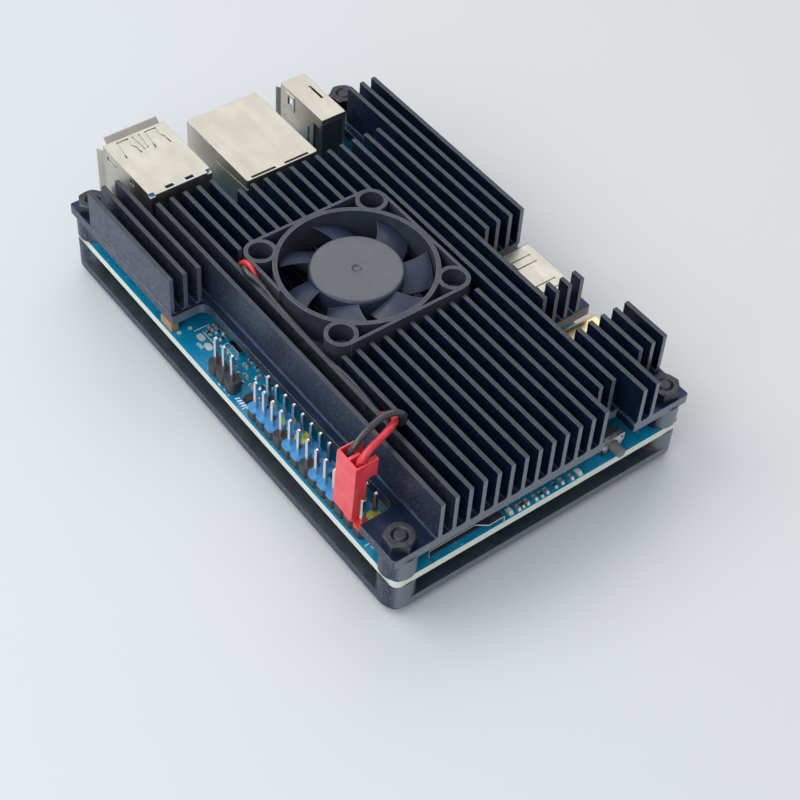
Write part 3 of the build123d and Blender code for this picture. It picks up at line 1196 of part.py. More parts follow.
with BuildPart() as capacitors:
    with BuildSketch(Plane.XY.offset(z_pcb1)):
        for cx, cy, along in cap_spots:
            with Locations((cx, cy)):
                Rectangle(1.0 if along else 0.5, 0.5 if along else 1.0)
    extrude(amount=0.50)
capacitors.part.label = "capacitors"
export_step(capacitors.part, "parts/capacitors.step")

res_spots = [
    (-12.2, -23.7, 0), (-13.0, -25.3, 1), (-10.4, -24.0, 0), (-3.9, -25.8, 1), (-3.1, -22.9, 1), (-1.0, -23.0, 1), (1.8, -22.7, 1), (4.0, -23.3, 1),
    (3.2, -24.7, 0), (0.3, -27.3, 0), (-3.4, -27.2, 1), (48.8, 3.2, 1), (49.0, 0.0, 1), (48.9, -4.0, 1), (-18.0, -16.0, 1), (-24.0, -3.0, 1), (-24.0, -5.0, 1),
    (25.0, 16.8, 1), (29.0, 16.8, 1), (-14.0, 16.0, 1), (-14.0, 18.0, 1),
]
with BuildPart() as resistors:
    with BuildSketch(Plane.XY.offset(z_pcb1)):
        for cx, cy, along in res_spots:
            with Locations((cx, cy)):
                Rectangle(1.0 if along else 0.5, 0.5 if along else 1.0)
    extrude(amount=0.32)
resistors.part.label = "resistors"
export_step(resistors.part, "parts/resistors.step")

with BuildPart() as status_leds:
    with BuildSketch(Plane.XY.offset(z_pcb1)):
        with Locations((49.0, 8.3), (48.9, -6.7)):
            Rectangle(1.6, 0.8)
    extrude(amount=0.30)
    with BuildSketch(Plane.XY.offset(z_pcb1 + 0.30)):
        with Locations((49.0, 8.3), (48.9, -6.7)):
            Rectangle(0.9, 0.8)
    extrude(amount=0.30)
status_leds.part.label = "status_leds"
export_step(status_leds.part, "parts/status_leds.step")

# tan moulded capacitor at the edge of the board, by the end of the first fins
with BuildPart() as tantalum_capacitor:
    with BuildSketch(Plane.XY.offset(z_pcb1)):
        with Locations((-18.6, -29.9)):
            Rectangle(3.5, 1.5)
    extrude(amount=1.8)
    chamfer(tantalum_capacitor.edges().filter_by(Plane.XY).group_by(Axis.Z)[-1], length=0.15)
tantalum_capacitor.part.label = "tantalum_capacitor"
export_step(tantalum_capacitor.part, "parts/tantalum_capacitor.step")
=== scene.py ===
import bpy, json, math, random
import numpy as np
from mathutils import Matrix, Vector


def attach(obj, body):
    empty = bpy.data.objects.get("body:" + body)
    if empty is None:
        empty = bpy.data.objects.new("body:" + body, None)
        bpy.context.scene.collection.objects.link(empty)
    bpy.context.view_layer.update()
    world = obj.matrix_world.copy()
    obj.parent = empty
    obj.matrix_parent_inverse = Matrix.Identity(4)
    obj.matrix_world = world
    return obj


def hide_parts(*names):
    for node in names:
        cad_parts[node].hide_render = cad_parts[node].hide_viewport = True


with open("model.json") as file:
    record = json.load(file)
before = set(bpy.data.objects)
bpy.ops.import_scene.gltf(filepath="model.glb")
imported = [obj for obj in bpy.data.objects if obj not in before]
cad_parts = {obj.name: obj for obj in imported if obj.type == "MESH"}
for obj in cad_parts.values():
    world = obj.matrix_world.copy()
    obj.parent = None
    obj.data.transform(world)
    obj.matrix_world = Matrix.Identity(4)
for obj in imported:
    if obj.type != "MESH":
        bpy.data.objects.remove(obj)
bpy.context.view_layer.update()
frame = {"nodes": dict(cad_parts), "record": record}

N = frame["nodes"]
MM = 0.001
random.seed(7)

# ------------------------------------------------------------------ material maker


def nd(nt, kind, x=0, y=0, **vals):
    n = nt.nodes.new(kind)
    n.location = (x, y)
    for k, v in vals.items():
        if k in n.inputs:
            n.inputs[k].default_value = v
        else:
            setattr(n, k, v)
    return n


def rgba(c):
    return (c[0], c[1], c[2], 1.0)


def mix_rgb(nt, fac, a, b, mode="MIX"):
    m = nt.nodes.new("ShaderNodeMix")
    m.data_type = "RGBA"
    m.blend_type = mode
    L = nt.links.new
    for sock, v in ((m.inputs[0], fac), (m.inputs[6], a), (m.inputs[7], b)):
        if isinstance(v, (int, float)):
            sock.default_value = v
        elif isinstance(v, tuple):
            sock.default_value = rgba(v) if len(v) == 3 else v
        else:
            L(v, sock)
    return m.outputs[2]


def math_n(nt, op, a, b=0.0, clamp=False):
    m = nt.nodes.new("ShaderNodeMath")
    m.operation = op
    m.use_clamp = clamp
    for sock, v in ((m.inputs[0], a), (m.inputs[1], b)):
        if isinstance(v, (int, float)):
            sock.default_value = v
        else:
            nt.links.new(v, sock)
    return m.outputs[0]


def ramp(nt, src, lo, hi, out0=0.0, out1=1.0):
    m = nt.nodes.new("ShaderNodeMapRange")
    m.inputs["From Min"].default_value = lo
    m.inputs["From Max"].default_value = hi
    m.inputs["To Min"].default_value = out0
    m.inputs["To Max"].default_value = out1
    nt.links.new(src, m.inputs["Value"])
    return m.outputs["Result"]


def noise(nt, vec, scale, detail=3.0, rough=0.55):
    n = nt.nodes.new("ShaderNodeTexNoise")
    n.inputs["Scale"].default_value = scale
    n.inputs["Detail"].default_value = detail
    n.inputs["Roughness"].default_value = rough
    nt.links.new(vec, n.inputs["Vector"])
    return n.outputs["Fac"]


def mapped(nt, vec, stretch):
    m = nt.nodes.new("ShaderNodeMapping")
    m.inputs["Scale"].default_value = stretch
    nt.links.new(vec, m.inputs["Vector"])
    return m.outputs["Vector"]


def mat(name, c1, c2=None, scale=250.0, rough=0.45, rvar=0.10, metal=0.0, bump=0.10, bscale=6000.0, stretch=(1, 1, 1),
        bevel=0.00006, edge=None, edge_sheen_and_wear_amt=0.6, coat=0.0, ior=1.5, custom=None, sss=0.0, alpha=1.0, transmission=0.0):
    m = bpy.data.materials.new(name)
    m.use_nodes = True
    nt = m.node_tree
    nt.nodes.clear()
    L = nt.links.new
    out = nd(nt, "ShaderNodeOutputMaterial", 900)
    p = nd(nt, "ShaderNodeBsdfPrincipled", 600)
    L(p.outputs[0], out.inputs[0])
    tc = nd(nt, "ShaderNodeTexCoord", -900)
    vec = tc.outputs["Object"]
    st = mapped(nt, vec, stretch)
    c2 = c2 or tuple(min(1.0, v * 1.25 + 0.004) for v in c1)
    f = ramp(nt, noise(nt, vec, scale, 4.0), 0.32, 0.68)
    col = mix_rgb(nt, f, c1, c2)
    geo = nd(nt, "ShaderNodeNewGeometry", -900, -300)
    bev = nd(nt, "ShaderNodeBevel", -300, -400, samples=4)
    bev.inputs["Radius"].default_value = bevel
    # painted edge highlight and wear: a lighter rim along edges, found with a wider bevel normal and broken up by
    # noise, stands partly for highlights caught by edges and partly for worn edges
    if edge is not None:
        wide = nd(nt, "ShaderNodeBevel", -300, -600, samples=4)
        wide.inputs["Radius"].default_value = bevel * 1.6
        dot = nt.nodes.new("ShaderNodeVectorMath")
        dot.operation = "DOT_PRODUCT"
        L(wide.outputs[0], dot.inputs[0])
        L(geo.outputs["True Normal"], dot.inputs[1])
        e = ramp(nt, dot.outputs["Value"], 0.995, 0.86)
        edge_wear_and_sheen_noise = ramp(nt, noise(nt, vec, scale * 6, 4.0), 0.35, 0.65, 0.45, 1.0)
        e = math_n(nt, "MULTIPLY", math_n(nt, "MULTIPLY", e, edge_wear_and_sheen_noise, True), edge_sheen_and_wear_amt, True)
        col = mix_rgb(nt, e, col, edge)
    r = ramp(nt, noise(nt, st, scale * 2.3, 4.0), 0.3, 0.7, max(0.02, rough - rvar), min(1.0, rough + rvar))
    b = nd(nt, "ShaderNodeBump", 300, -300)
    b.inputs["Strength"].default_value = bump
    b.inputs["Distance"].default_value = 0.00004
    L(noise(nt, st, bscale, 5.0, 0.6), b.inputs["Height"])
    L(bev.outputs[0], b.inputs["Normal"])
    L(b.outputs[0], p.inputs["Normal"])
    ctx = {"nt": nt, "p": p, "vec": vec, "geo": geo, "col": col, "rough": r, "bump": b}
    if custom:
        custom(ctx)
        col, r = ctx["col"], ctx["rough"]
    L(col, p.inputs["Base Color"])
    L(r, p.inputs["Roughness"])
    if isinstance(ctx.get("metal"), bpy.types.NodeSocket):
        L(ctx["metal"], p.inputs["Metallic"])
    else:
        p.inputs["Metallic"].default_value = metal
    p.inputs["IOR"].default_value = ior
    p.inputs["Coat Weight"].default_value = coat
    p.inputs["Coat Roughness"].default_value = 0.2
    p.inputs["Subsurface Weight"].default_value = sss
    p.inputs["Subsurface Scale"].default_value = 0.0004
    p.inputs["Transmission Weight"].default_value = transmission
    p.inputs["Alpha"].default_value = alpha
    return m


def sep(nt, src):
    s = nt.nodes.new("ShaderNodeSeparateXYZ")
    nt.links.new(src, s.inputs[0])
    return s.outputs


# anodised aluminium: painted highlight on the machined fin tops (with milling streaks), upward faces lower down keep
# the dark base as painted shade in the gaps, painted light on the +X front ends, painted sheen on the outer -Y faces,
# mottled sides
def anodised(ctx):
    nt, vec, geo = ctx["nt"], ctx["vec"], ctx["geo"]
    n = sep(nt, geo.outputs["True Normal"])
    pos = sep(nt, vec)
    # painted highlight: upward faces above z 21.5 mm (the fin tops) get a lighter milled grey for the light they
    # catch; upward faces lower down stay dark as painted shade between the fins
    up = ramp(nt, n[2], 0.6, 0.9)
    high = ramp(nt, pos[2], 0.0215, 0.0228)
    top = math_n(nt, "MULTIPLY", up, high, True)
    mill = noise(nt, mapped(nt, vec, (0.06, 1.0, 1.0)), 9000.0, 3.0)
    top_highlight_col = mix_rgb(nt, mill, (0.036, 0.044, 0.054), (0.074, 0.084, 0.098))
    # painted light: faces turned to +X (the fin and plate front ends) get a lighter grey-blue as if lit from the front
    front_face_lit = ramp(nt, n[0], 0.55, 0.85)
    front_highlight_col = mix_rgb(nt, noise(nt, mapped(nt, vec, (1.0, 1.0, 0.2)), 5000.0, 3.0), (0.150, 0.165, 0.195), (0.260, 0.280, 0.320))
    col = mix_rgb(nt, front_face_lit, ctx["col"], front_highlight_col)
    # painted sheen: outer faces turned to -Y on the near side get a lighter, mottled colour standing in for the
    # reflection they catch
    near_face_sheen = math_n(nt, "MULTIPLY", ramp(nt, n[1], -0.55, -0.85), ramp(nt, pos[1], -0.0185, -0.0192), True)
    sheen_mottle = ramp(nt, noise(nt, vec, 2600.0, 3.0, 0.7), 0.50, 0.72, 0.0, 1.0)
    col = mix_rgb(nt, near_face_sheen, col, mix_rgb(nt, sheen_mottle, (0.040, 0.052, 0.085), (0.170, 0.195, 0.260)))
    col = mix_rgb(nt, top, col, top_highlight_col)
    # faint blotches, streaks and pale scuffs
    blot = ramp(nt, noise(nt, mapped(nt, vec, (0.5, 1.0, 1.3)), 420.0, 6.0, 0.7), 0.55, 0.82, 0.0, 0.22)
    col = mix_rgb(nt, blot, col, (0.14, 0.17, 0.25))
    speck = ramp(nt, noise(nt, vec, 3200.0, 2.0), 0.72, 0.80, 0.0, 0.30)
    col = mix_rgb(nt, speck, col, (0.32, 0.35, 0.42))
    ctx["col"] = col
    ctx["rough"] = math_n(nt, "ADD", ctx["rough"], math_n(nt, "MULTIPLY", top, 0.06))


def brushed(ctx):
    nt, vec = ctx["nt"], ctx["vec"]
    lines = noise(nt, mapped(nt, vec, (0.05, 1.0, 1.0)), 14000.0, 2.0)
    ctx["rough"] = math_n(nt, "ADD", ctx["rough"], ramp(nt, lines, 0.3, 0.7, -0.02, 0.04), True)
    smut = ramp(nt, noise(nt, vec, 700.0, 6.0, 0.65), 0.55, 0.90, 0.0, 0.16)
    ctx["col"] = mix_rgb(nt, smut, ctx["col"], (0.50, 0.46, 0.38))
    spots = ramp(nt, noise(nt, vec, 5200.0, 2.0), 0.74, 0.82, 0.0, 0.16)
    ctx["col"] = mix_rgb(nt, spots, ctx["col"], (0.40, 0.38, 0.34))


def moulded(ctx):
    nt, vec = ctx["nt"], ctx["vec"]
    dust = ramp(nt, noise(nt, vec, 4300.0, 2.0), 0.68, 0.80, 0.0, 0.25)
    up = ramp(nt, sep(nt, ctx["geo"].outputs["True Normal"])[2], 0.3, 1.0)
    ctx["col"] = mix_rgb(nt, math_n(nt, "MULTIPLY", dust, up, True), ctx["col"], (0.55, 0.56, 0.58))


def hub_lines_and_sheen(ctx):
    moulded(ctx)
    nt, vec = ctx["nt"], ctx["vec"]
    lines = noise(nt, mapped(nt, vec, (1.0, 0.08, 1.0)), 9000.0, 2.0)
    ctx["rough"] = math_n(nt, "ADD", ctx["rough"], ramp(nt, lines, 0.3, 0.7, -0.06, 0.06), True)
    pos = sep(nt, vec)
    n = sep(nt, ctx["geo"].outputs["True Normal"])
    # painted sheen: the flat hub top is coloured lighter than the rest of the same plastic, standing in for the
    # overhead light it catches; moulding lines run through it
    hub_top_sheen = math_n(nt, "MULTIPLY", ramp(nt, n[2], 0.90, 0.99), ramp(nt, pos[2], 0.02340, 0.02355), True)
    hub_sheen_col = mix_rgb(nt, ramp(nt, lines, 0.35, 0.75, 0.0, 1.0), (0.085, 0.092, 0.105), (0.130, 0.138, 0.150))
    ctx["col"] = mix_rgb(nt, hub_top_sheen, ctx["col"], hub_sheen_col)


# glass laminate with blue mask: copper runs under the mask, pale bare edge
def laminate(ctx):
    nt, vec, geo = ctx["nt"], ctx["vec"], ctx["geo"]
    n = sep(nt, geo.outputs["True Normal"])
    side = ramp(nt, math_n(nt, "ABSOLUTE", n[2]), 0.7, 0.3)
    br = nt.nodes.new("ShaderNodeTexBrick")
    br.offset, br.squash = 0.37, 0.7
    for k, v in (("Scale", 260.0), ("Mortar Size", 0.045), ("Brick Width", 0.9), ("Row Height", 0.17)):
        br.inputs[k].default_value = v
    nt.links.new(vec, br.inputs["Vector"])
    run = ramp(nt, br.outputs["Fac"], 0.2, 0.8, 0.06, 0.0)
    blue = mix_rgb(nt, run, ctx["col"], (0.02, 0.30, 0.55))
    vor = nt.nodes.new("ShaderNodeTexVoronoi")
    vor.inputs["Scale"].default_value = 620.0
    nt.links.new(vec, vor.inputs["Vector"])
    via = ramp(nt, vor.outputs["Distance"], 0.07, 0.10, 0.7, 0.0)
    blue = mix_rgb(nt, via, blue, (0.45, 0.62, 0.66))
    weave = noise(nt, mapped(nt, vec, (1, 1, 6)), 2600.0, 3.0)
    edge = mix_rgb(nt, weave, (0.66, 0.72, 0.62), (0.86, 0.88, 0.78))
    zpos = sep(nt, vec)[2]
    lay = nt.nodes.new("ShaderNodeTexWave")
    lay.bands_direction = "Z"
    lay.inputs["Scale"].default_value = 1500.0
    nt.links.new(vec, lay.inputs["Vector"])
    edge = mix_rgb(nt, ramp(nt, lay.outputs["Fac"], 0.75, 1.0, 0.0, 0.35), edge, (0.35, 0.45, 0.42))
    ctx["col"] = mix_rgb(nt, side, blue, edge)
    ctx["rough"] = math_n(nt, "ADD", ctx["rough"], math_n(nt, "MULTIPLY", side, 0.35), True)


def chip_marks(ctx):
    nt, vec = ctx["nt"], ctx["vec"]
    lv = ramp(nt, noise(nt, vec, 9000.0, 2.0), 0.45, 0.60, 0.0, 0.3)
    ctx["col"] = mix_rgb(nt, lv, ctx["col"], (0.09, 0.09, 0.10))


def tinned_ends(ctx):
    moulded(ctx)


G = {
    "anodised_plate": mat("m_anodised_plate", (0.070, 0.080, 0.094), (0.115, 0.128, 0.145), 300, 0.40, 0.08, 0.70, 0.20, 7000, bevel=0.0001, edge=(0.34, 0.35, 0.38), custom=anodised),
    "anodised_heatsink": mat("m_anodised_heatsink", (0.006, 0.016, 0.048), (0.014, 0.029, 0.078), 260, 0.34, 0.08, 0.60, 0.20, 7000, bevel=0.00012, edge=(0.40, 0.43, 0.47), edge_sheen_and_wear_amt=0.9, custom=anodised),
    "blue_laminate": mat("m_blue_laminate", (0.000, 0.210, 0.400), (0.006, 0.290, 0.500), 500, 0.30, 0.08, 0.0, 0.10, 3500, coat=0.35, custom=laminate),
    "black_screw_steel": mat("m_black_screw", (0.045, 0.047, 0.052), None, 700, 0.34, 0.10, 0.85, 0.2, 9000, edge=(0.35, 0.35, 0.36)),
    "black_nut_steel": mat("m_black_nut", (0.040, 0.046, 0.056), (0.065, 0.072, 0.084), 900, 0.36, 0.10, 0.80, 0.25, 9000, bevel=0.0001, edge=(0.36, 0.36, 0.38)),
    "fan_screw_steel": mat("m_fan_screw", (0.16, 0.16, 0.165), None, 900, 0.34, 0.10, 0.9, 0.15, 9000, edge=(0.45, 0.45, 0.46)),
    "fan_frame_plastic": mat("m_fan_frame", (0.034, 0.040, 0.060), (0.048, 0.055, 0.076), 400, 0.40, 0.08, 0.0, 0.25, 8000, bevel=0.00012, edge=(0.30, 0.32, 0.36), edge_sheen_and_wear_amt=0.8, custom=moulded),
    "fan_rotor_plastic": mat("m_fan_rotor", (0.022, 0.030, 0.062), (0.032, 0.042, 0.078), 300, 0.34, 0.06, 0.0, 0.15, 6000, bevel=0.0001, edge=(0.20, 0.205, 0.215), custom=hub_lines_and_sheen),
    "shaft_steel": mat("m_shaft", (0.55, 0.55, 0.56), None, 900, 0.22, 0.06, 1.0, 0.05, 9000, custom=brushed),
    "magnet_ferrite": mat("m_magnet", (0.05, 0.048, 0.047), None, 1200, 0.6, 0.1, 0.0, 0.3, 9000, custom=moulded),
    "sleeve_bronze": mat("m_bronze", (0.42, 0.25, 0.10), (0.52, 0.33, 0.15), 1500, 0.4, 0.1, 1.0, 0.3, 12000),
    "stator_steel": mat("m_stator", (0.30, 0.31, 0.33), None, 1200, 0.4, 0.1, 1.0, 0.2, 9000, custom=brushed),
    "coil_copper": mat("m_coil", (0.55, 0.20, 0.08), (0.68, 0.28, 0.12), 3000, 0.35, 0.1, 1.0, 0.6, 9000, stretch=(0.2, 0.2, 2)),
    "motor_board_laminate": mat("m_motor_board", (0.02, 0.13, 0.05), None, 900, 0.35, 0.1, 0.0, 0.1, 5000),
    "lead_red": mat("m_lead_red", (0.62, 0.020, 0.030), (0.78, 0.05, 0.06), 500, 0.32, 0.06, 0.0, 0.05, 5000, coat=0.25, sss=0.1, custom=moulded),
    "lead_black": mat("m_lead_black", (0.030, 0.031, 0.038), (0.05, 0.052, 0.062), 500, 0.26, 0.06, 0.0, 0.05, 5000, coat=0.6, custom=moulded),
    "plug_red": mat("m_plug_red", (0.82, 0.040, 0.060), (0.92, 0.085, 0.11), 350, 0.36, 0.06, 0.0, 0.10, 6000, bevel=0.0001, edge=(0.98, 0.34, 0.36), edge_sheen_and_wear_amt=0.7, coat=0.2, sss=0.15),
    "plug_contact_metal": mat("m_plug_contact", (0.62, 0.60, 0.55), None, 900, 0.3, 0.08, 1.0, 0.1, 9000, custom=brushed),
    "header_black": mat("m_header_black", (0.030, 0.031, 0.034), (0.048, 0.050, 0.055), 900, 0.5, 0.08, 0.0, 0.3, 9000, edge=(0.12, 0.12, 0.13), custom=moulded),
    "pin_metal": mat("m_pin", (0.80, 0.80, 0.82), (0.70, 0.69, 0.68), 900, 0.20, 0.06, 1.0, 0.08, 9000, stretch=(1, 1, 0.1), bevel=0.00005),
    "cap_blue": mat("m_cap_blue", (0.03, 0.24, 0.56), (0.06, 0.33, 0.68), 700, 0.38, 0.08, 0.0, 0.15, 8000, edge=(0.22, 0.52, 0.85), coat=0.15),
    "cap_yellow": mat("m_cap_yellow", (0.52, 0.62, 0.04), (0.66, 0.74, 0.08), 700, 0.38, 0.08, 0.0, 0.15, 8000, edge=(0.8, 0.86, 0.3), coat=0.15),
    "cap_red": mat("m_cap_red", (0.70, 0.03, 0.03), (0.8, 0.06, 0.05), 700, 0.38, 0.08, 0.0, 0.15, 8000, edge=(0.9, 0.2, 0.18), coat=0.15),
    "cap_black": mat("m_cap_black", (0.022, 0.022, 0.025), (0.04, 0.04, 0.045), 700, 0.40, 0.08, 0.0, 0.2, 8000, edge=(0.12, 0.12, 0.13)),
    "shell_nickel": mat("m_shell_nickel", (0.55, 0.52, 0.45), (0.61, 0.58, 0.51), 260, 0.38, 0.06, 1.0, 0.12, 9000, stretch=(0.2, 1, 1), bevel=0.00014, edge=(0.86, 0.85, 0.83), custom=brushed),
    "shell_nickel_warm": mat("m_shell_nickel_warm", (0.57, 0.53, 0.455), (0.63, 0.59, 0.52), 240, 0.40, 0.06, 1.0, 0.12, 9000, stretch=(0.2, 1, 1), bevel=0.00014, edge=(0.88, 0.86, 0.83), custom=brushed),
    "shell_gold": mat("m_shell_gold", (0.92, 0.66, 0.36), (0.97, 0.76, 0.48), 350, 0.32, 0.06, 1.0, 0.12, 9000, bevel=0.00012, edge=(0.9, 0.8, 0.6), custom=brushed),
    "shell_card": mat("m_shell_card", (0.66, 0.67, 0.68), (0.76, 0.77, 0.78), 350, 0.32, 0.06, 1.0, 0.12, 9000, bevel=0.0001, edge=(0.85, 0.85, 0.86), custom=brushed),
    "insert_blue": mat("m_insert_blue", (0.01, 0.10, 0.42), (0.02, 0.15, 0.55), 500, 0.4, 0.08, 0.0, 0.15, 8000, edge=(0.2, 0.35, 0.7), custom=moulded),
    "insert_black": mat("m_insert_black", (0.022, 0.022, 0.025), (0.035, 0.035, 0.04), 600, 0.45, 0.08, 0.0, 0.2, 8000, edge=(0.10, 0.10, 0.11), custom=moulded),
    "contact_gold": mat("m_contact_gold", (0.72, 0.50, 0.18), (0.82, 0.62, 0.28), 900, 0.25, 0.06, 1.0, 0.1, 9000, custom=brushed),
    "light_clear": mat("m_light_clear", (0.62, 0.66, 0.45), (0.74, 0.76, 0.6), 900, 0.3, 0.05, 0.0, 0.05, 6000, sss=0.3),
    "button_black": mat("m_button_black", (0.03, 0.03, 0.034), None, 800, 0.5, 0.08, 0.0, 0.2, 8000, custom=moulded),
    "button_metal": mat("m_button_metal", (0.55, 0.55, 0.56), None, 500, 0.28, 0.06, 1.0, 0.12, 9000, edge=(0.85, 0.85, 0.86), custom=brushed),
    "plunger_grey": mat("m_plunger", (0.13, 0.13, 0.14), (0.18, 0.175, 0.185), 800, 0.42, 0.08, 0.0, 0.15, 8000, edge=(0.4, 0.4, 0.42)),
    "chip_black": mat("m_chip", (0.022, 0.022, 0.024), (0.035, 0.035, 0.038), 900, 0.5, 0.08, 0.0, 0.35, 12000, custom=chip_marks),
    "pad_grey": mat("m_pad", (0.26, 0.28, 0.31), None, 700, 0.7, 0.08, 0.0, 0.4, 6000),
    "inductor_grey": mat("m_inductor", (0.075, 0.075, 0.08), None, 1500, 0.6, 0.1, 0.1, 0.5, 12000, edge=(0.2, 0.2, 0.2)),
    "crystal_metal": mat("m_crystal", (0.58, 0.58, 0.58), None, 700, 0.25, 0.06, 1.0, 0.1, 9000, bevel=0.00015, edge=(0.85, 0.85, 0.85), custom=brushed),
    "capacitor_tan": mat("m_capacitor", (0.30, 0.20, 0.12), (0.40, 0.28, 0.18), 2500, 0.5, 0.1, 0.0, 0.2, 12000, edge=(0.5, 0.4, 0.3)),
    "resistor_black": mat("m_resistor", (0.02, 0.02, 0.022), (0.05, 0.05, 0.055), 2500, 0.35, 0.1, 0.0, 0.1, 12000, edge=(0.3, 0.3, 0.3)),
    "led_clear": mat("m_led", (0.70, 0.74, 0.62), (0.80, 0.83, 0.72), 1500, 0.3, 0.05, 0.0, 0.05, 8000, sss=0.3),
    "capacitor_brown": mat("m_tantalum", (0.36, 0.20, 0.07), (0.48, 0.29, 0.11), 1800, 0.45, 0.1, 0.0, 0.2, 12000, edge=(0.65, 0.5, 0.3)),
}
TIN = mat("m_tin", (0.82, 0.82, 0.82), (0.92, 0.92, 0.91), 2500, 0.34, 0.08, 0.7, 0.3, 9000)
PAD = mat("m_bare_pad", (0.80, 0.82, 0.81), (0.90, 0.91, 0.90), 1800, 0.40, 0.08, 0.3, 0.2, 9000)
INK = mat("m_ink", (0.86, 0.89, 0.90), (0.94, 0.95, 0.95), 2200, 0.55, 0.08, 0.0, 0.15, 9000)

slots = {s["node"]: s["material_slot"] for s in frame["record"]["subparts"]}
for n, o in N.items():
    o.data.materials.clear()
    o.data.materials.append(G[slots[n]])

# ------------------------------------------------------------------ mesh helpers


def piece(name, verts, faces, material, body, smooth=None, replaces=()):
    me = bpy.data.meshes.new(name)
    me.from_pydata([tuple(v) for v in verts], [], [tuple(f) for f in faces])
    me.validate()
    me.update()
    o = bpy.data.objects.new(name, me)
    bpy.context.scene.collection.objects.link(o)
    me.materials.append(material)
    if smooth is not None:
        for p in me.polygons:
            p.use_smooth = True
        if hasattr(me, "set_sharp_from_angle"):
            me.set_sharp_from_angle(angle=math.radians(smooth))
    import bmesh
    bm = bmesh.new()
    bm.from_mesh(me)
    bmesh.ops.recalc_face_normals(bm, faces=bm.faces)
    bm.to_mesh(me)
    bm.free()
    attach(o, body)
    if replaces:
        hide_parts(*replaces)
    return o


class Build:
    def __init__(self):
        self.v, self.f = [], []

    def add(self, verts, faces):
        k = len(self.v)
        self.v += [tuple(v) for v in verts]
        self.f += [tuple(i + k for i in f) for f in faces]

    def box(self, x0, x1, y0, y1, z0, z1, c=0.0):
        """box with its top edges chamfered by c"""
        vs = [(x0, y0, z0), (x1, y0, z0), (x1, y1, z0), (x0, y1, z0),
              (x0, y0, z1 - c), (x1, y0, z1 - c), (x1, y1, z1 - c), (x0, y1, z1 - c)]
        fs = [(3, 2, 1, 0), (0, 1, 5, 4), (1, 2, 6, 5), (2, 3, 7, 6), (3, 0, 4, 7)]
        if c:
            vs += [(x0 + c, y0 + c, z1), (x1 - c, y0 + c, z1), (x1 - c, y1 - c, z1), (x0 + c, y1 - c, z1)]
            fs += [(4, 5, 9, 8), (5, 6, 10, 9), (6, 7, 11, 10), (7, 4, 8, 11), (8, 9, 10, 11)]
        else:
            fs += [(4, 5, 6, 7)]
        self.add([(x * MM, y * MM, z * MM) for x, y, z in vs], fs)

    def lathe(self, cx, cy, prof, n=24):
        """closed ring profile (r, z) turned about a vertical axis; r = 0 ends become single points"""
        vs, rings = [], []
        for r, z in prof:
            if r < 1e-6:
                rings.append([len(vs)] * n)
                vs.append((cx * MM, cy * MM, z * MM))
            else:
                rings.append(list(range(len(vs), len(vs) + n)))
                vs += [((cx + r * math.cos(2 * math.pi * i / n)) * MM, (cy + r * math.sin(2 * math.pi * i / n)) * MM, z * MM) for i in range(n)]
        fs = []
        for a, b in zip(rings, rings[1:]):
            for i in range(n):
                j = (i + 1) % n
                f = []
                for q in (a[i], a[j], b[j], b[i]):
                    if q not in f:
                        f.append(q)
                if len(f) >= 3:
                    fs.append(f)
        self.add(vs, fs)


def islands(node):
    """bounding boxes (mm) of the loose solids of a CAD node"""
    me = N[node].data
    co = np.array([v.co[:] for v in me.vertices]) * 1000
    key, idx = {}, []
    for p in co:
        k = tuple(np.round(p, 3))
        idx.append(key.setdefault(k, len(key)))
    par = list(range(len(key)))

    def find(a):
        while par[a] != a:
            par[a] = par[par[a]]
            a = par[a]
        return a
    for e in me.polygons:
        vs = [find(idx[i]) for i in e.vertices]
        for q in vs[1:]:
            par[find(q)] = find(vs[0])
    groups = {}
    for i, p in enumerate(co):
        groups.setdefault(find(idx[i]), []).append(p)
    return [(np.min(g, 0), np.max(g, 0)) for g in groups.values()]


# ------------------------------------------------------------------ fan rotor
fx, fy = 0.15, -2.95
ZB = 9.13
rot = Build()
z0, z1 = 20.05, 23.78
rot.lathe(fx, fy, [(0, z1 - 0.22), (0.45, z1 - 0.22), (0.72, z1 - 0.14), (0.86, z1 - 0.03), (0.98, z1), (7.78, z1), (8.10, z1 - 0.05), (8.34, z1 - 0.20), (8.47, z1 - 0.45), (8.5, z1 - 0.75),
                   (8.5, z0 + 0.1), (8.42, z0), (7.68, z0), (7.66, z0 + 0.1), (7.66, z1 - 0.80), (0, z1 - 0.80)], 144)


def blade(turn):
    nu, nv = 12, 18
    top, bot = [], []
    for i in range(nu + 1):
        u = i / nu
        r = 8.30 + (13.45 - 8.30) * u
        lead = 172.0 + 8.4 * u ** 1.25
        chord = 37.5 - 9.5 * u
        for j in range(nv + 1):
            v = j / nv
            a = math.radians(lead - chord * v + turn)
            drop = 2.62 - 0.35 * u
            camber = 0.22 * math.sin(math.pi * v)
            z = 23.12 - 0.10 * u - drop * v ** 0.92 + camber
            th = 0.34 * (0.35 + 0.65 * math.sin(math.pi * min(1, max(0, 0.06 + 0.88 * v)))) * (1 - 0.25 * u)
            x, y = fx + r * math.cos(a), fy + r * math.sin(a)
            top.append((x * MM, y * MM, (z + th) * MM))
            bot.append((x * MM, y * MM, (z - th) * MM))
    w = nv + 1
    vs = top + bot
    k = len(top)
    fs = []
    for i in range(nu):
        for j in range(nv):
            a, b, c, d = i * w + j, (i + 1) * w + j, (i + 1) * w + j + 1, i * w + j + 1
            fs += [(a, b, c, d), (k + d, k + c, k + b, k + a)]
    for i in range(nu):
        for j in (0, nv):
            a, b = i * w + j, (i + 1) * w + j
            fs.append((a, b, k + b, k + a))
    for j in range(nv):
        for i in (0, nu):
            a, b = i * w + j, i * w + j + 1
            fs.append((a, b, k + b, k + a))
    return vs, fs


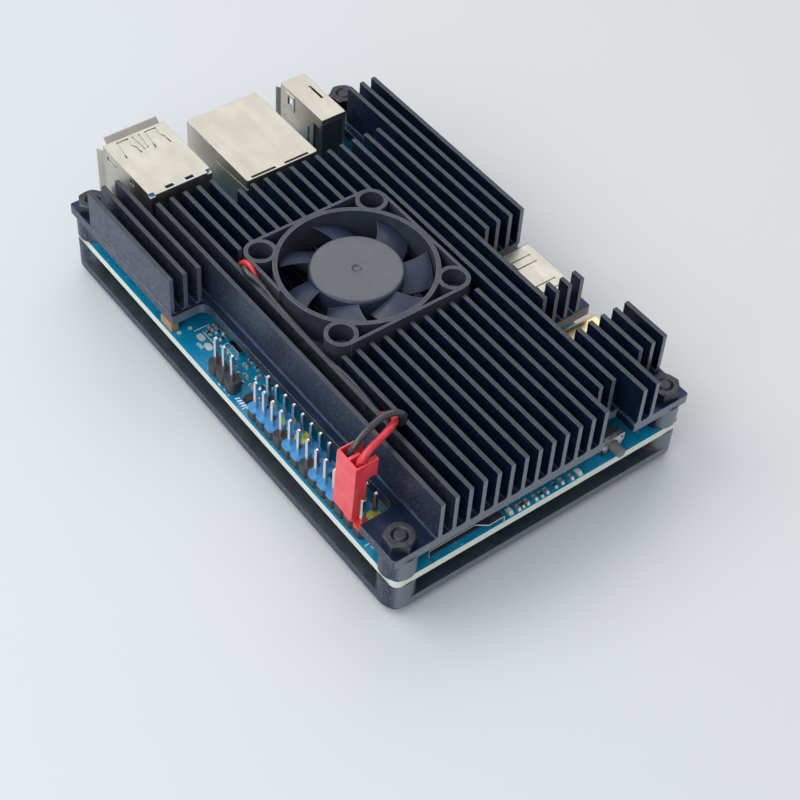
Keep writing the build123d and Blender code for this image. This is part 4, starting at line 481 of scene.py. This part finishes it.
for q in range(7):
    rot.add(*blade(-360.0 / 7 * q))
piece("rotor_moulding", rot.v, rot.f, G["fan_rotor_plastic"], "rotor", 35, ("fan_rotor",))

# ------------------------------------------------------------------ fan leads
plug_x, plug_z, tilt = 38.47 - 1.5 * 2.54, ZB + 2.54, math.radians(2.6)


def plug_pt(dx, dz, y):
    c, s = math.cos(tilt), math.sin(tilt)
    return (plug_x + dx * c + dz * s, y, plug_z - dx * s + dz * c)


def pol(r, d):
    return (fx + r * math.cos(math.radians(d)), fy + r * math.sin(math.radians(d)))


CH = -18.64
red = [
    (*pol(8.0, 243.0), 19.12), (*pol(10.6, 243.5), 18.80), (-5.9, -15.2, 18.30), (-7.4, -17.30, 18.26),
    (-9.6, -18.62, 18.30), (-11.7, CH, 19.10), (-12.75, CH, 20.90), (-12.55, CH, 22.90), (-11.60, -18.50, 24.10),
    (-10.1, -18.46, 24.52), (-8.7, -18.44, 23.90), (-7.4, -18.50, 22.70), (-4.8, CH, 21.45), (1.0, CH, 20.65), (9.0, CH, 20.45),
    (14.6, -18.74, 20.42), (18.0, -18.84, 20.25), (21.5, -18.86, 20.20), (25.0, -18.86, 20.45), (27.4, -18.84, 21.35), (29.17, -18.76, 22.75),
    (30.8, -18.75, 24.20), (32.4, -19.05, 25.35), (33.85, -20.25, 26.10), (35.15, -22.60, 26.70), (36.05, -25.00, 26.90),
    (36.55, -27.10, 26.60), (36.75, -28.60, 25.60), plug_pt(1.27, 12.2, -29.25), plug_pt(1.27, 9.2, -29.28),
]
black = [
    (*pol(8.0, 258.0), 19.15), (*pol(10.6, 254.5), 19.22), (-5.3, -15.35, 19.42), (-6.9, -17.35, 19.46),
    (-8.9, -18.60, 19.48), (-10.5, CH, 20.20), (-11.50, CH, 21.60), (-11.45, -18.80, 22.80), (-10.85, -19.06, 23.84),
    (-9.7, -19.50, 24.24), (-8.0, -19.46, 24.16), (-6.5, -19.06, 23.90), (-5.0, -18.80, 23.34), (-2.0, -18.70, 22.60), (3.0, CH, 22.05), (8.0, CH, 21.75),
    (14.0, -18.45, 21.55), (17.5, -18.05, 21.45), (21.0, -17.92, 21.25), (24.5, -17.90, 20.85), (27.8, -17.90, 20.55), (30.3, -17.90, 21.20),
    (32.3, -17.90, 22.90), (33.55, -17.95, 24.90), (33.75, -18.45, 26.75), (33.40, -20.05, 27.85), (33.25, -22.50, 28.00),
    (33.60, -24.90, 27.65), (34.0, -27.00, 26.90), (34.22, -28.60, 25.70), plug_pt(-1.27, 12.2, -29.25), plug_pt(-1.27, 9.2, -29.28),
]


def spline(pts, step=0.22):
    p = np.array(pts, float)
    d = np.r_[0, np.cumsum(np.linalg.norm(np.diff(p, axis=0), axis=1))]
    n = len(d)
    h = np.diff(d)
    A = np.zeros((n, n))
    B = np.zeros((n, 3))
    A[0, 0] = A[-1, -1] = 1
    for i in range(1, n - 1):
        A[i, i - 1], A[i, i], A[i, i + 1] = h[i - 1], 2 * (h[i - 1] + h[i]), h[i]
        B[i] = 6 * ((p[i + 1] - p[i]) / h[i] - (p[i] - p[i - 1]) / h[i - 1])
    m2 = np.linalg.solve(A, B)
    t = np.linspace(0, d[-1], int(d[-1] / step))
    k = np.clip(np.searchsorted(d, t) - 1, 0, n - 2)
    a, b, hh = (d[k + 1] - t)[:, None], (t - d[k])[:, None], h[k][:, None]
    return t, (m2[k] * a ** 3 + m2[k + 1] * b ** 3) / (6 * hh) + (p[k] / hh - m2[k] * hh / 6) * a + (p[k + 1] / hh - m2[k + 1] * hh / 6) * b


def tube(pts, radius, sides=20):
    t, c = spline(pts)
    tan = np.gradient(c, axis=0)
    tan /= np.linalg.norm(tan, axis=1)[:, None]
    nrm = np.cross(tan[0], (0, 0, 1.0))
    nrm /= np.linalg.norm(nrm)
    vs, fs = [], []
    for i in range(len(c)):
        nrm = nrm - tan[i] * np.dot(nrm, tan[i])
        nrm /= np.linalg.norm(nrm)
        bn = np.cross(tan[i], nrm)
        r = radius(t[i] / t[-1], c[i])
        for k in range(sides):
            a = 2 * math.pi * k / sides
            vs.append((c[i] + r * (math.cos(a) * nrm + math.sin(a) * bn)) * MM)
    for i in range(len(c) - 1):
        for k in range(sides):
            q = (k + 1) % sides
            fs.append((i * sides + k, i * sides + q, (i + 1) * sides + q, (i + 1) * sides + k))
    fs.append(tuple(range(sides))[::-1])
    fs.append(tuple((len(c) - 1) * sides + k for k in range(sides)))
    return vs, fs


def lead_r(base, loop):
    def r(u, p):
        g = min(1.0, max(0.0, (p[0] - 29.5) / 2.5))
        e = min(1.0, max(0.0, (p[2] - 23.6) / 1.6)) if p[0] > 33 and p[1] < -28 else 1.0
        return base + (loop - base) * g * e
    return r


for nm, pts, lp in (("red", red, 0.64), ("black", black, 0.58)):
    v, f = tube(pts, lead_r(0.45, lp))
    piece("lead_" + nm, v, f, G["lead_" + nm], "board", 60, ("fan_wire_" + nm,))

# ------------------------------------------------------------------ tinned ends and solder on the small parts
ends = Build()
for node, h in (("capacitors", 0.5), ("resistors", 0.32)):
    for lo, hi in islands(node):
        ax = 0 if (hi[0] - lo[0]) > (hi[1] - lo[1]) else 1
        for s in (-1, 1):
            a, b = lo.copy(), hi.copy()
            if s < 0:
                b[ax] = lo[ax] + 0.24
                a[ax] -= 0.03
            else:
                a[ax] = hi[ax] - 0.24
                b[ax] += 0.03
            o = 1 - ax
            a[o] -= 0.02
            b[o] += 0.02
            ends.box(a[0], b[0], a[1], b[1], ZB, hi[2] + 0.02, 0.05)
            # solder wedge outside the end
            c = (hi[ax] + 0.03) if s > 0 else (lo[ax] - 0.03)
            d = c + s * 0.28
            zt = ZB + h * 0.7
            m0, m1 = a[o], b[o]
            pr = [(c, m0, ZB), (c, m1, ZB), (d, m1, ZB), (d, m0, ZB), (c, m0, zt), (c, m1, zt), (c + s * 0.10, m0 + 0.03, ZB + h * 0.22), (c + s * 0.10, m1 - 0.03, ZB + h * 0.22)]
            if ax == 1:
                pr = [(y, x, z) for x, y, z in pr]
            ends.add([(x * MM, y * MM, z * MM) for x, y, z in pr],
                     [(0, 1, 2, 3), (0, 4, 5, 1), (4, 6, 7, 5), (6, 3, 2, 7), (0, 3, 6, 4), (1, 5, 7, 2)])
piece("chip_end_caps", ends.v, ends.f, TIN, "board")

cones = Build()
for node in ("gpio_header_pins", "debug_header_pins"):
    for lo, hi in islands(node):
        cx, cy = (lo[0] + hi[0]) / 2, (lo[1] + hi[1]) / 2
        zb = 7.53
        cones.lathe(cx, cy, [(0.0, zb - 1.15), (0.36, zb - 1.05), (0.42, zb - 0.75), (0.55, zb - 0.35), (0.80, zb - 0.08), (0.92, zb - 0.001), (0.0, zb - 0.001)], 16)
piece("header_solder", cones.v, cones.f, TIN, "board", 50)

# ------------------------------------------------------------------ bare pads and printed marks on the board
pads, ink = Build(), Build()
zt = ZB


def rpad(b, cx, cy, w, h, t=0.045, ang=0.0, r=None):
    """low rounded pad"""
    r = min(w, h) * 0.42 if r is None else r
    out = []
    for qx, qy, a0 in ((1, 1, 0), (-1, 1, 90), (-1, -1, 180), (1, -1, 270)):
        for k in range(5):
            a = math.radians(a0 + 22.5 * k)
            x = qx * (w / 2 - r) + r * math.cos(a)
            y = qy * (h / 2 - r) + r * math.sin(a)
            ca, sa = math.cos(ang), math.sin(ang)
            out.append((cx + x * ca - y * sa, cy + x * sa + y * ca))
    n = len(out)
    vs = [(x * MM, y * MM, zt * MM) for x, y in out] + [(x * MM, y * MM, (zt + t) * MM) for x, y in out]
    fs = [tuple(range(n))[::-1], tuple(range(n, 2 * n))] + [(i, (i + 1) % n, n + (i + 1) % n, n + i) for i in range(n)]
    b.add(vs, fs)


rpad(pads, -12.9, -27.0, 1.9, 1.25)
rpad(pads, -10.2, -27.15, 1.9, 1.25)
for k in range(4):
    rpad(ink, -11.9 + 0.42 * k, -28.25, 0.16, 0.7, r=0.05)
    rpad(ink, 2.90 + 0.66 * k, -29.72, 0.30, 0.90, r=0.08, ang=-0.35)
for sx in (-1, 1):
    for sy in (-1, 1):
        pass
for x, y, w, h in ((-8.9, -25.2, 0.9, 0.5), (-7.2, -25.2, 0.9, 0.5), (-5.2, -25.6, 0.5, 0.9), (-15.9, -27.4, 0.8, 0.8), (-16.0, -29.6, 0.8, 0.8), (5.9, -29.4, 0.6, 0.6),
                   (0.0, -30.3, 0.7, 0.45), (-1.6, -30.4, 0.7, 0.45), (44.2, -24.6, 1.2, 0.6), (41.9, -26.8, 0.8, 0.8), (41.9, -29.3, 0.8, 0.8)):
    rpad(pads, x, y, w, h)
for x, y, w, h in ((-6.9, -24.75, 4.2, 0.14), (-6.9, -22.05, 4.2, 0.14), (-9.05, -23.4, 0.14, 2.6), (1.4, -29.9, 0.14, 1.6), (-14.8, -25.6, 0.14, 3.2), (-11.6, -25.95, 4.6, 0.14),
                   (41.0, -28.0, 0.16, 4.9), (5.4, -28.0, 0.16, 4.9)):
    rpad(ink, x, y, w, h, 0.02, r=0.06)
# pad rings round the four corner holes, on the top face
for cx, cy in ((47, 28.35), (-47, 28.35), (-47, -28.35), (47, -28.35)):
    pads.lathe(cx, cy, [(1.52, ZB), (3.0, ZB), (3.0, ZB + 0.001), (1.52, ZB + 0.001)], 48)
# a row of vias and small pads along the front edge
for k in range(14):
    rpad(pads, 47.2 + 0.35 * (k % 2), -7.2 + 1.25 * k, 0.42, 0.42, 0.03)
piece("board_pads", pads.v, pads.f, PAD, "board")
piece("board_print", ink.v, ink.f, INK, "board")

# ------------------------------------------------------------------ stage
fl = 1.6
me = bpy.data.meshes.new("table_top")
nseg = 24
vs = [((-fl + 2 * fl * i / nseg), (-fl + 2 * fl * j / nseg), 0.0) for i in range(nseg + 1) for j in range(nseg + 1)]
fs = [(i * (nseg + 1) + j, (i + 1) * (nseg + 1) + j, (i + 1) * (nseg + 1) + j + 1, i * (nseg + 1) + j + 1) for i in range(nseg) for j in range(nseg)]
me.from_pydata(vs, [], fs)
floor = bpy.data.objects.new("table_top", me)
bpy.context.scene.collection.objects.link(floor)


def table_mat(ctx):
    nt, vec = ctx["nt"], ctx["vec"]
    pos = sep(nt, vec)
    # warmer towards the far right, cooler near the left
    g = math_n(nt, "ADD", math_n(nt, "MULTIPLY", pos[1], 2.2), math_n(nt, "MULTIPLY", pos[0], 0.6))
    w = ramp(nt, g, -0.25, 0.55)
    ctx["col"] = mix_rgb(nt, w, ctx["col"], (0.690, 0.690, 0.675))
    ctx["rough"] = ramp(nt, noise(nt, vec, 30.0), 0.3, 0.7, 0.42, 0.52)


me.materials.append(mat("m_table", (0.700, 0.735, 0.775), (0.715, 0.748, 0.785), 6, 0.50, 0.05, 0.0, 0.02, 900, bevel=0.0, custom=table_mat))

sc = bpy.context.scene
world = bpy.data.worlds.new("room")
sc.world = world
world.use_nodes = True
wn = world.node_tree
bg = wn.nodes["Background"]
wtc = wn.nodes.new("ShaderNodeTexCoord")
wsep = wn.nodes.new("ShaderNodeSeparateXYZ")
wn.links.new(wtc.outputs["Generated"], wsep.inputs[0])
wr = wn.nodes.new("ShaderNodeValToRGB")
wr.color_ramp.elements[0].position = 0.0
wr.color_ramp.elements[0].color = (0.60, 0.62, 0.66, 1)
wr.color_ramp.elements[1].position = 1.0
wr.color_ramp.elements[1].color = (0.95, 0.97, 1.0, 1)
wn.links.new(wsep.outputs["Z"], wr.inputs[0])
wn.links.new(wr.outputs[0], bg.inputs[0])
bg.inputs[1].default_value = 0.63


def area(name, loc, target, size, power, colour):
    d = bpy.data.lights.new(name, "AREA")
    d.shape = "RECTANGLE"
    d.size, d.size_y = size
    d.energy = power
    d.color = colour
    o = bpy.data.objects.new(name, d)
    sc.collection.objects.link(o)
    o.location = loc
    o.rotation_mode = "QUATERNION"
    o.rotation_quaternion = (Vector(target) - Vector(loc)).to_track_quat("-Z", "Y")
    return o


area("key_soft", (-0.55, -0.50, 0.90), (0, 0, 0), (0.9, 0.7), 5.8, (1.0, 0.985, 0.965))
area("glare_soft", (-0.60, 0.52, 0.84), (0, 0, 0), (0.9, 0.55), 1.9, (0.99, 0.99, 0.98))
area("fill_soft", (0.35, -0.75, 0.60), (0, 0, 0), (0.8, 0.6), 3.4, (0.90, 0.95, 1.0))

# camera at the measured viewpoint
rv = Vector((2.162886441300104, 1.1046692121731794, -0.35720835628672554))
R = Matrix.Rotation(rv.length, 3, rv.normalized())
t = Vector((-7.698966443779486, -10.692, 323.56280649428015))
C = -(R.transposed() @ t)
cam_d = bpy.data.cameras.new("camera")
cam = bpy.data.objects.new("camera", cam_d)
sc.collection.objects.link(cam)
cam_d.sensor_width = 36.0
cam_d.lens = 1792.319 / 800 * 36.0
cam_d.shift_x = -(409.2007 - 400) / 800
cam_d.shift_y = (378.8796 - 400) / 800
cam_d.clip_start, cam_d.clip_end = 0.01, 20
m3 = Matrix((R[0], -R[1], -R[2])).transposed()
m4 = m3.to_4x4()
m4.translation = Vector((C.x, C.y, C.z + 9.13)) * MM
cam.matrix_world = m4
sc.camera = cam
sc.view_settings.view_transform = "Standard"
sc.view_settings.look = "None"
sc.view_settings.exposure = 0.0
